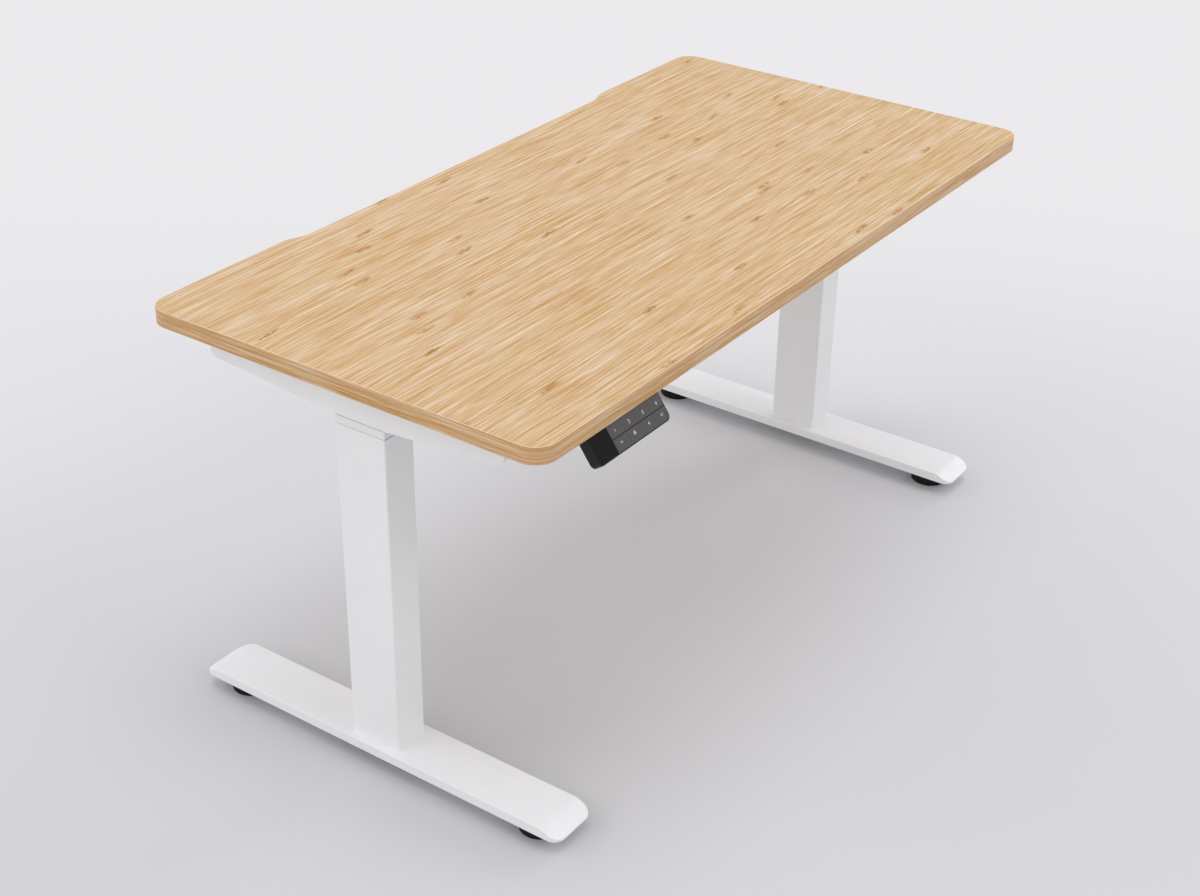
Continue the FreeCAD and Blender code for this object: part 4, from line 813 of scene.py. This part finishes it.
@dataclass
class FinishBook:
    """Every finish on the desk, each made once, by what it is or what wears it."""

    bamboo: Material = made_by(Bamboo())
    white: Material = made_by(
        PowderCoat(
            name="white_powder_coat",
            colour=(0.880, 0.880, 0.886),
            shade=(0.857, 0.858, 0.864),
            # a painted tint of the light on level faces, bluer than the sides
            painted_top_tint=(0.988, 0.998, 1.030),
        )
    )
    # The collar's lower edge carries a painted shadow for its seam.
    collar: Material = made_by(SeamShadowCollar(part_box("column_outer_left")[1].z + SEAM_SHADOW_HEIGHT))
    zinc: Material = made_by(PlatedSteel("zinc_plate", (0.66, 0.67, 0.69), (0.60, 0.60, 0.56)))
    screw: Material = made_by(
        PlatedSteel("rolled_thread", (0.58, 0.58, 0.60), (0.50, 0.50, 0.50), thread_pitch=0.004)
    )
    black_steel: Material = made_by(
        PlatedSteel("black_oxide", (0.050, 0.050, 0.054), (0.075, 0.072, 0.070), gloss=(0.38, 0.52))
    )
    motor: Material = made_by(
        PowderCoat("motor_grey", (0.13, 0.135, 0.145), (0.11, 0.115, 0.12), peel=0.0007, depth=0.00002)
    )
    glide: Material = made_by(MouldedPlastic("glide_nylon", (0.13, 0.13, 0.14), (0.10, 0.10, 0.105)))
    acetal: Material = made_by(MouldedPlastic("nut_acetal", (0.84, 0.83, 0.78), (0.79, 0.78, 0.72)))
    rubber: Material = made_by(
        MouldedPlastic(
            name="pad_rubber_black",
            colour=(0.0135, 0.0130, 0.0132),
            shade=(0.0095, 0.0091, 0.0093),
            gloss=(0.6, 0.8),
            shine=0.15,
        )
    )
    case: Material = made_by(
        MouldedPlastic(
            name="keypad_case_black",
            colour=(0.0095, 0.0088, 0.0086),
            shade=(0.0070, 0.0065, 0.0063),
            gloss=(0.32, 0.46),
            shine=0.25,
        )
    )
    box: Material = made_by(
        MouldedPlastic(
            name="control_box_black",
            colour=(0.045, 0.045, 0.048),
            shade=(0.034, 0.034, 0.036),
            grain=0.0007,
            depth=0.00004,
        )
    )
    key: Material = made_by(
        MouldedPlastic("key_charcoal", (0.066, 0.061, 0.061), (0.056, 0.051, 0.051), gloss=(0.34, 0.44))
    )
    window: Material = made_by(PolishedWindow())
    board: Material = made_by(CircuitBoard())
    dark_board: Material = made_by(
        CircuitBoard(
            name="circuit_board_black",
            mask=(0.006, 0.006, 0.006),
            run=(0.014, 0.013, 0.012),
            pad=(0.10, 0.08, 0.05),
        )
    )
    socket: Material = made_by(MouldedPlastic("socket_nylon", (0.82, 0.81, 0.78), (0.76, 0.75, 0.72)))
    ink: Material = made_by(PrintedMark())


def dress(node: str, finish: Material) -> None:
    """Gives a part of the frame its finish.

    Args:
        node: The part's name.
        finish: The material.
    """
    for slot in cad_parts[node].material_slots:
        slot.material = finish


def place_piece(
    mesh: bpy.types.Mesh, name: str, finish: Material, body: str
) -> bpy.types.Object:
    """Puts a finished mesh into the scene as a piece of the desk.

    Args:
        mesh: The mesh, in the desk's frame.
        name: The piece's name.
        finish: Its material.
        body: The body that it moves with.

    Returns:
        The piece.
    """
    mesh.name = name
    mesh.materials.clear()
    mesh.materials.append(finish)
    piece = bpy.data.objects.new(name, mesh)
    bpy.context.scene.collection.objects.link(piece)
    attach(piece, body)
    LOG.info("%s: %d faces, on %s", name, len(mesh.polygons), body)
    return piece


# --------------------------------------------------------------------------- sub-assemblies


@dataclass
class DeskTop:
    """The bamboo board and the screws that hold it down.

    Attributes:
        node: The board's name in the frame.
        fasteners: The screws and bolts that the top carries.
    """

    node: str = "desktop"
    fasteners: tuple[str, ...] = ("wood_screws", "head_bolts", "beam_bolts")

    def build(self, finishes: FinishBook) -> None:
        """Dresses the board and its fasteners.

        Args:
            finishes: The desk's finishes.
        """
        dress(self.node, finishes.bamboo)
        for name in self.fasteners:
            dress(name, finishes.zinc)
        LOG.info("desk top dressed")


@dataclass
class Leg:
    """One lifting column on its foot, with what drives it.

    Attributes:
        side: Which end of the desk it stands at.
    """

    side: Side

    def build(self, finishes: FinishBook) -> None:
        """Dresses the foot, the column and the drive.

        Args:
            finishes: The desk's finishes.
        """
        suits = {
            finishes.white: ("foot_shell", "column_outer", "column_inner", "side_bracket"),
            finishes.collar: ("guide_collar",),
            finishes.zinc: (
                "foot_stiffener", "foot_bolts", "leveller_inserts",
                "nut_post", "head_plate", "thrust_bearing",
            ),
            finishes.screw: ("lead_screw",),
            finishes.motor: ("gear_motor",),
            finishes.glide: ("glide_shoe",),
            finishes.acetal: ("lead_nut",),
        }
        for finish, names in suits.items():
            for name in names:
                dress(f"{name}_{self.side.value}", finish)
        for reach in Reach:
            dress(f"leveller_{self.side.value}_{reach.value}", finishes.rubber)
        LOG.info("%s leg dressed", self.side.value)


@dataclass
class UnderFrame:
    """The two beams between the legs."""

    def build(self, finishes: FinishBook) -> None:
        """Dresses the beams.

        Args:
            finishes: The desk's finishes.
        """
        for reach in Reach:
            dress(f"cross_beam_{reach.value}", finishes.white)
        LOG.info("cross beams dressed")


@dataclass
class ControlBox:
    """The box under the top that drives both motors."""

    def build(self, finishes: FinishBook) -> None:
        """Dresses the box, its board, sockets and screws.

        Args:
            finishes: The desk's finishes.
        """
        for name in ("control_tray", "control_lid"):
            dress(name, finishes.box)
        dress("power_inlet", finishes.case)
        dress("control_board", finishes.board)
        dress("motor_sockets", finishes.socket)
        dress("box_screws", finishes.black_steel)
        LOG.info("control box dressed")


@dataclass(frozen=True)
class KeyFace:
    """The flat face of one key, which a mark is printed on.

    Attributes:
        node: The key's name in the frame.
        across: The direction that reads from left to right.
        upward: The direction that points up the face.
    """

    node: str
    across: Vector
    upward: Vector

    def outward(self) -> Vector:
        """Gives the direction that the face looks in."""
        return self.across.cross(self.upward)

    def middle(self) -> Vector:
        """Finds the middle of the face.

        Returns:
            The point, in metres.
        """
        points = [vertex.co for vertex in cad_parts[self.node].data.vertices]
        out = self.outward()
        top = max(point.dot(out) for point in points)
        face = [point for point in points if point.dot(out) > top - FACE_SLACK]
        spans = [[point.dot(axis) for point in face] for axis in (self.across, self.upward)]
        centre = [(min(span) + max(span)) / 2 for span in spans]
        return self.across * centre[0] + self.upward * centre[1] + out * top

    def onto(self, lift: float) -> Matrix:
        """Gives the move that puts a flat drawing on the face.

        Args:
            lift: How far above the face the drawing's middle plane lies, in metres.

        Returns:
            The move.
        """
        turned = Matrix((self.across, self.upward, self.outward())).transposed().to_4x4()
        return Matrix.Translation(self.middle() + self.outward() * lift) @ turned


@dataclass
class KeyMark:
    """The thin printed mark on a key.

    Attributes:
        symbol: What it shows.
        along: How far to the right of the key's middle it lies, in metres.
        up: How far above the key's middle it lies, in metres.
        width: How wide the drawing is, in metres.
        stroke: How wide its lines are, in metres.
        film: How thick the ink is, in metres.
    """

    symbol: Symbol
    along: float
    up: float
    width: float = 0.0047
    stroke: float = 0.00074
    film: float = 0.00006

    def lines(self) -> list[list[tuple[float, float]]]:
        """Gives the mark's lines, each a row of points in a square from -0.5 to 0.5.

        Returns:
            The lines.
        """
        def arc(x: float, y: float, radius: float, start: float, end: float) -> list[tuple[float, float]]:
            """Points along an arc.

            Args:
                x: The centre's place across.
                y: The centre's place up.
                radius: The radius.
                start: The angle that it starts at, in degrees.
                end: The angle that it ends at, in degrees.

            Returns:
                The points.
            """
            shares = [step / ARC_STEPS for step in range(ARC_STEPS + 1)]
            turns = [math.radians(start + (end - start) * share) for share in shares]
            return [(x + radius * math.cos(turn), y + radius * math.sin(turn)) for turn in turns]

        drawings = {
            Symbol.ONE: [[(-0.16, 0.34), (0.04, 0.5), (0.04, -0.5)]],
            Symbol.TWO: [[*arc(0.0, 0.22, 0.28, 160, -35), (-0.3, -0.5), (0.32, -0.5)]],
            Symbol.THREE: [arc(0.0, 0.25, 0.25, 150, -90), arc(0.0, -0.23, 0.27, 90, -150)],
            Symbol.RAISE: [
                [(-0.16, -0.02), (-0.5, -0.02), (0.0, 0.46), (0.5, -0.02), (0.16, -0.02)],
                [(-0.16, -0.02), (-0.16, -0.44), (0.16, -0.44), (0.16, -0.02)],
            ],
            Symbol.LOWER: [[(-0.5, 0.3), (0.0, -0.32), (0.5, 0.3)]],
            Symbol.LOCK: [
                [(-0.4, 0.05), (0.4, 0.05), (0.4, -0.45), (-0.4, -0.45), (-0.4, 0.05)],
                [(-0.3, -0.2), (0.3, -0.2)],
                [(-0.24, 0.05), *arc(0.0, 0.25, 0.24, 180, 0), (0.24, 0.05)],
            ],
            Symbol.STORE: [
                [(0.0, 0.5), (0.0, -0.3)],
                [(0.0, 0.02), (-0.4, 0.02), (0.0, -0.44), (0.4, 0.02), (0.0, 0.02)],
            ],
            Symbol.TIMER: [arc(0.0, 0.0, 0.44, 150, 400)],
        }
        return drawings[self.symbol]

    def build(self, face: KeyFace, finishes: FinishBook) -> bpy.types.Object:
        """Draws the mark on a key.

        Args:
            face: The key's face.
            finishes: The desk's finishes.

        Returns:
            The mark.
        """
        drawing = bpy.data.curves.new(f"{face.node}_drawing", "CURVE")
        drawing.dimensions = "3D"
        drawing.bevel_depth = self.stroke / 2
        drawing.bevel_resolution = 2
        drawing.use_fill_caps = True
        for line in self.lines():
            spline = drawing.splines.new("POLY")
            spline.points.add(len(line) - 1)
            for point, (x, y) in zip(spline.points, line):
                point.co = (x * self.width, y * self.width, 0.0, 1.0)
        holder = bpy.data.objects.new("drawing", drawing)
        mesh = bpy.data.meshes.new_from_object(holder)
        bpy.data.objects.remove(holder)
        mesh.transform(Matrix.Scale(self.film / (self.stroke / 2), 4, Vector((0.0, 0.0, 1.0))))
        mesh.transform(face.onto(0.0) @ Matrix.Translation(Vector((self.along, self.up, 0.0))))
        return place_piece(mesh, f"{face.node}_mark", finishes.ink, face.node)


@dataclass
class Keypad:
    """The tilted keypad under the front edge.

    Attributes:
        tilt: How far its face leans back from upright, in degrees.
        marks: The mark on each key.
    """

    tilt: float = 36.0
    marks: dict[str, KeyMark] = field(
        default_factory=lambda: {
            "key_preset_1": KeyMark(Symbol.ONE, -0.0017, -0.0012),
            "key_preset_2": KeyMark(Symbol.TWO, -0.0008, -0.0010),
            "key_preset_3": KeyMark(Symbol.THREE, 0.0010, -0.0013),
            "key_up": KeyMark(Symbol.RAISE, 0.0030, -0.0013),
            "key_down": KeyMark(Symbol.LOWER, -0.0004, 0.0014),
            "key_lock": KeyMark(Symbol.LOCK, -0.0005, 0.0020),
            "key_memory": KeyMark(Symbol.STORE, 0.0026, 0.0012),
            "key_timer": KeyMark(Symbol.TIMER, 0.0026, 0.0017),
        }
    )

    def build(self, finishes: FinishBook) -> None:
        """Dresses the keypad and prints its keys.

        Args:
            finishes: The desk's finishes.
        """
        for name in ("keypad_housing", "keypad_back"):
            dress(name, finishes.case)
        dress("display_window", finishes.window)
        for name in ("display_module", "keypad_board"):
            dress(name, finishes.dark_board)
        lean = math.radians(self.tilt)
        upward = Vector((0.0, math.sin(lean), math.cos(lean)))
        for name, mark in self.marks.items():
            dress(name, finishes.key)
            mark.build(KeyFace(name, Vector((1.0, 0.0, 0.0)), upward), finishes)
        LOG.info("keypad dressed")


# --------------------------------------------------------------------------- studio


@dataclass
class SoftLamp:
    """One distant lamp behind a wide round diffuser.

    Attributes:
        name: Its name.
        turn: Which way round the desk it hangs, in degrees from straight in front of it.
        rise: How high it hangs, in degrees.
        level: How brightly it lights a white surface that faces it, where 1 is white.
        spread: How wide it looks from the desk, in degrees.
    """

    name: str
    turn: float
    rise: float
    level: float
    spread: float = 40.0

    def build(self) -> None:
        """Hangs the lamp."""
        lamp = bpy.data.lights.new(self.name, "SUN")
        lamp.energy = self.level * math.pi
        lamp.angle = math.radians(self.spread)
        towards = direction(self.turn, self.rise)
        holder = bpy.data.objects.new(self.name, lamp)
        holder.location = towards * LAMP_DISTANCE
        holder.rotation_euler = (-towards).to_track_quat("-Z", "Y").to_euler()
        bpy.context.scene.collection.objects.link(holder)


@dataclass
class Studio:
    """The pale floor, the soft light and the camera.

    Attributes:
        floor_size: How wide the floor is, in metres.
        floor_near: The floor's colour in front of the desk.
        floor_middle: Its colour behind the desk.
        floor_far: Its colour far behind it.
        floor_near_ramp: Where the first turns into the second, in metres past the desk's middle
            as the camera looks.
        floor_far_ramp: Where the second turns into the third, the same way.
        floor_edge: The colour the floor takes on every side, so that it meets the backdrop unseen.
        floor_edge_ramp: Where it does so, in metres from the desk's middle.
        sky: How bright the even light from all round is.
        backdrop: The colour seen past the floor, and mirrored in gloss.
        stand: Where the camera stands, in metres.
        turn: How far round the desk the camera stands, in degrees.
        rise: How far the camera looks down, in degrees.
        roll: How far the camera leans, in degrees.
        lens: The lens, in millimetres, on a frame 36 mm wide.
        lamps: The lamps.
    """

    floor_size: float = 60.0
    floor_near: Colour = (0.627, 0.628, 0.656)
    floor_middle: Colour = (0.681, 0.688, 0.729)
    floor_far: Colour = (0.743, 0.733, 0.746)
    floor_near_ramp: Span = (-0.75, 0.45)
    floor_far_ramp: Span = (0.15, 1.90)
    floor_edge: Colour = (0.728, 0.719, 0.732)
    floor_edge_ramp: Span = (4.0, 10.0)
    sky: float = 0.665
    backdrop: Colour = (0.832, 0.821, 0.836)
    stand: tuple[float, float, float] = (-2.36162, -1.58235, 1.88345)
    turn: float = -55.19576
    rise: float = 29.83372
    roll: float = 0.95721
    lens: float = 58.218
    lamps: tuple[SoftLamp, ...] = (
        SoftLamp("lamp_overhead", 0.0, 90.0, 0.210),
        SoftLamp("lamp_left", -90.0, 32.0, 0.090),
        SoftLamp("lamp_left_rear", -135.0, 32.0, 0.135),
        SoftLamp("lamp_front", 10.0, 40.0, 0.108, 24.0),
        SoftLamp("lamp_right", 80.0, 25.0, 0.144, 24.0),
    )

    def floor_material(self) -> Material:
        """Makes the floor's pale material, which turns paler with distance as painted light.

        Returns:
            The material.
        """
        make = Recipe("studio_floor")
        x, y, _ = make.place()
        back = direction(self.turn, 0.0)
        away = make.calc("ADD", make.times(x, -back.x), make.times(y, -back.y))
        # Painted light: the floor steps from darker near the camera to paler far off, with a cooler
        # middle step, in place of the light's fall-off.
        colour = make.mix(make.step(away, *self.floor_near_ramp), self.floor_near, self.floor_middle)
        colour = make.mix(make.step(away, *self.floor_far_ramp), colour, self.floor_far)
        out = make.calc("SQRT", make.calc("MULTIPLY_ADD", x, x, make.calc("MULTIPLY", y, y)))
        colour = make.mix(make.step(out, *self.floor_edge_ramp), colour, self.floor_edge)
        mottle = make.noise(make.scaled(), scale=2.2)
        roughness = make.spread(mottle, to_low=0.8, to_high=0.9)
        return make.finish(base_color=colour, roughness=roughness, specular_ior_level=0.1)

    def build_floor(self) -> None:
        """Lays the floor just under the levellers."""
        shape = bmesh.new()
        bmesh.ops.create_grid(shape, x_segments=1, y_segments=1, size=self.floor_size / 2)
        mesh = bpy.data.meshes.new("studio_floor")
        shape.to_mesh(mesh)
        shape.free()
        mesh.materials.append(self.floor_material())
        floor = bpy.data.objects.new("studio_floor", mesh)
        bpy.context.scene.collection.objects.link(floor)

    def build_sky(self) -> None:
        """Fills the room with even light, in front of a pale backdrop."""
        world = bpy.data.worlds.new("studio_air")
        world.use_nodes = True
        tree = world.node_tree
        light = tree.nodes["Background"]
        light.inputs["Color"].default_value = (1.0, 0.995, 1.0, 1.0)
        light.inputs["Strength"].default_value = self.sky
        seen = tree.nodes.new("ShaderNodeBackground")
        seen.inputs["Color"].default_value = (*self.backdrop, 1.0)
        ray = tree.nodes.new("ShaderNodeLightPath")
        looks = ray.outputs["Is Camera Ray"]
        for kind in ("Is Glossy Ray", "Is Transmission Ray"):
            either = tree.nodes.new("ShaderNodeMath")
            either.operation = "MAXIMUM"
            tree.links.new(looks, either.inputs[0])
            tree.links.new(ray.outputs[kind], either.inputs[1])
            looks = either.outputs[0]
        choice = tree.nodes.new("ShaderNodeMixShader")
        tree.links.new(looks, choice.inputs[0])
        tree.links.new(light.outputs[0], choice.inputs[1])
        tree.links.new(seen.outputs[0], choice.inputs[2])
        tree.links.new(choice.outputs[0], tree.nodes["World Output"].inputs["Surface"])
        bpy.context.scene.world = world

    def build_camera(self) -> None:
        """Stands the camera in its place."""
        camera = bpy.data.cameras.new("studio_camera")
        camera.lens = self.lens
        camera.sensor_width = 36.0
        camera.clip_end = 200.0
        roll = math.radians(self.roll)
        back = direction(self.turn, self.rise)
        right = (-back).cross(Vector((0.0, 0.0, 1.0))).normalized()
        up = right.cross(-back)
        across = right * math.cos(roll) + up * math.sin(roll)
        upright = up * math.cos(roll) - right * math.sin(roll)
        holder = bpy.data.objects.new("studio_camera", camera)
        turned = Matrix((across, upright, back)).transposed().to_4x4()
        holder.matrix_world = Matrix.Translation(Vector(self.stand)) @ turned
        bpy.context.scene.collection.objects.link(holder)
        bpy.context.scene.camera = holder

    def build(self) -> None:
        """Sets up the whole studio."""
        self.build_camera()
        self.build_floor()
        self.build_sky()
        for lamp in self.lamps:
            lamp.build()
        bpy.context.scene.view_settings.view_transform = "Standard"
        LOG.info("studio ready, %d lamps", len(self.lamps))


def main() -> None:
    """Builds the desk's looks, one sub-assembly after another, then the studio."""
    logging.basicConfig(level=logging.INFO, format="%(name)s: %(message)s")
    finishes = FinishBook()
    DeskTop().build(finishes)
    for side in Side:
        Leg(side).build(finishes)
    UnderFrame().build(finishes)
    ControlBox().build(finishes)
    Keypad().build(finishes)
    Studio().build()


if __name__ == "__main__":
    main()
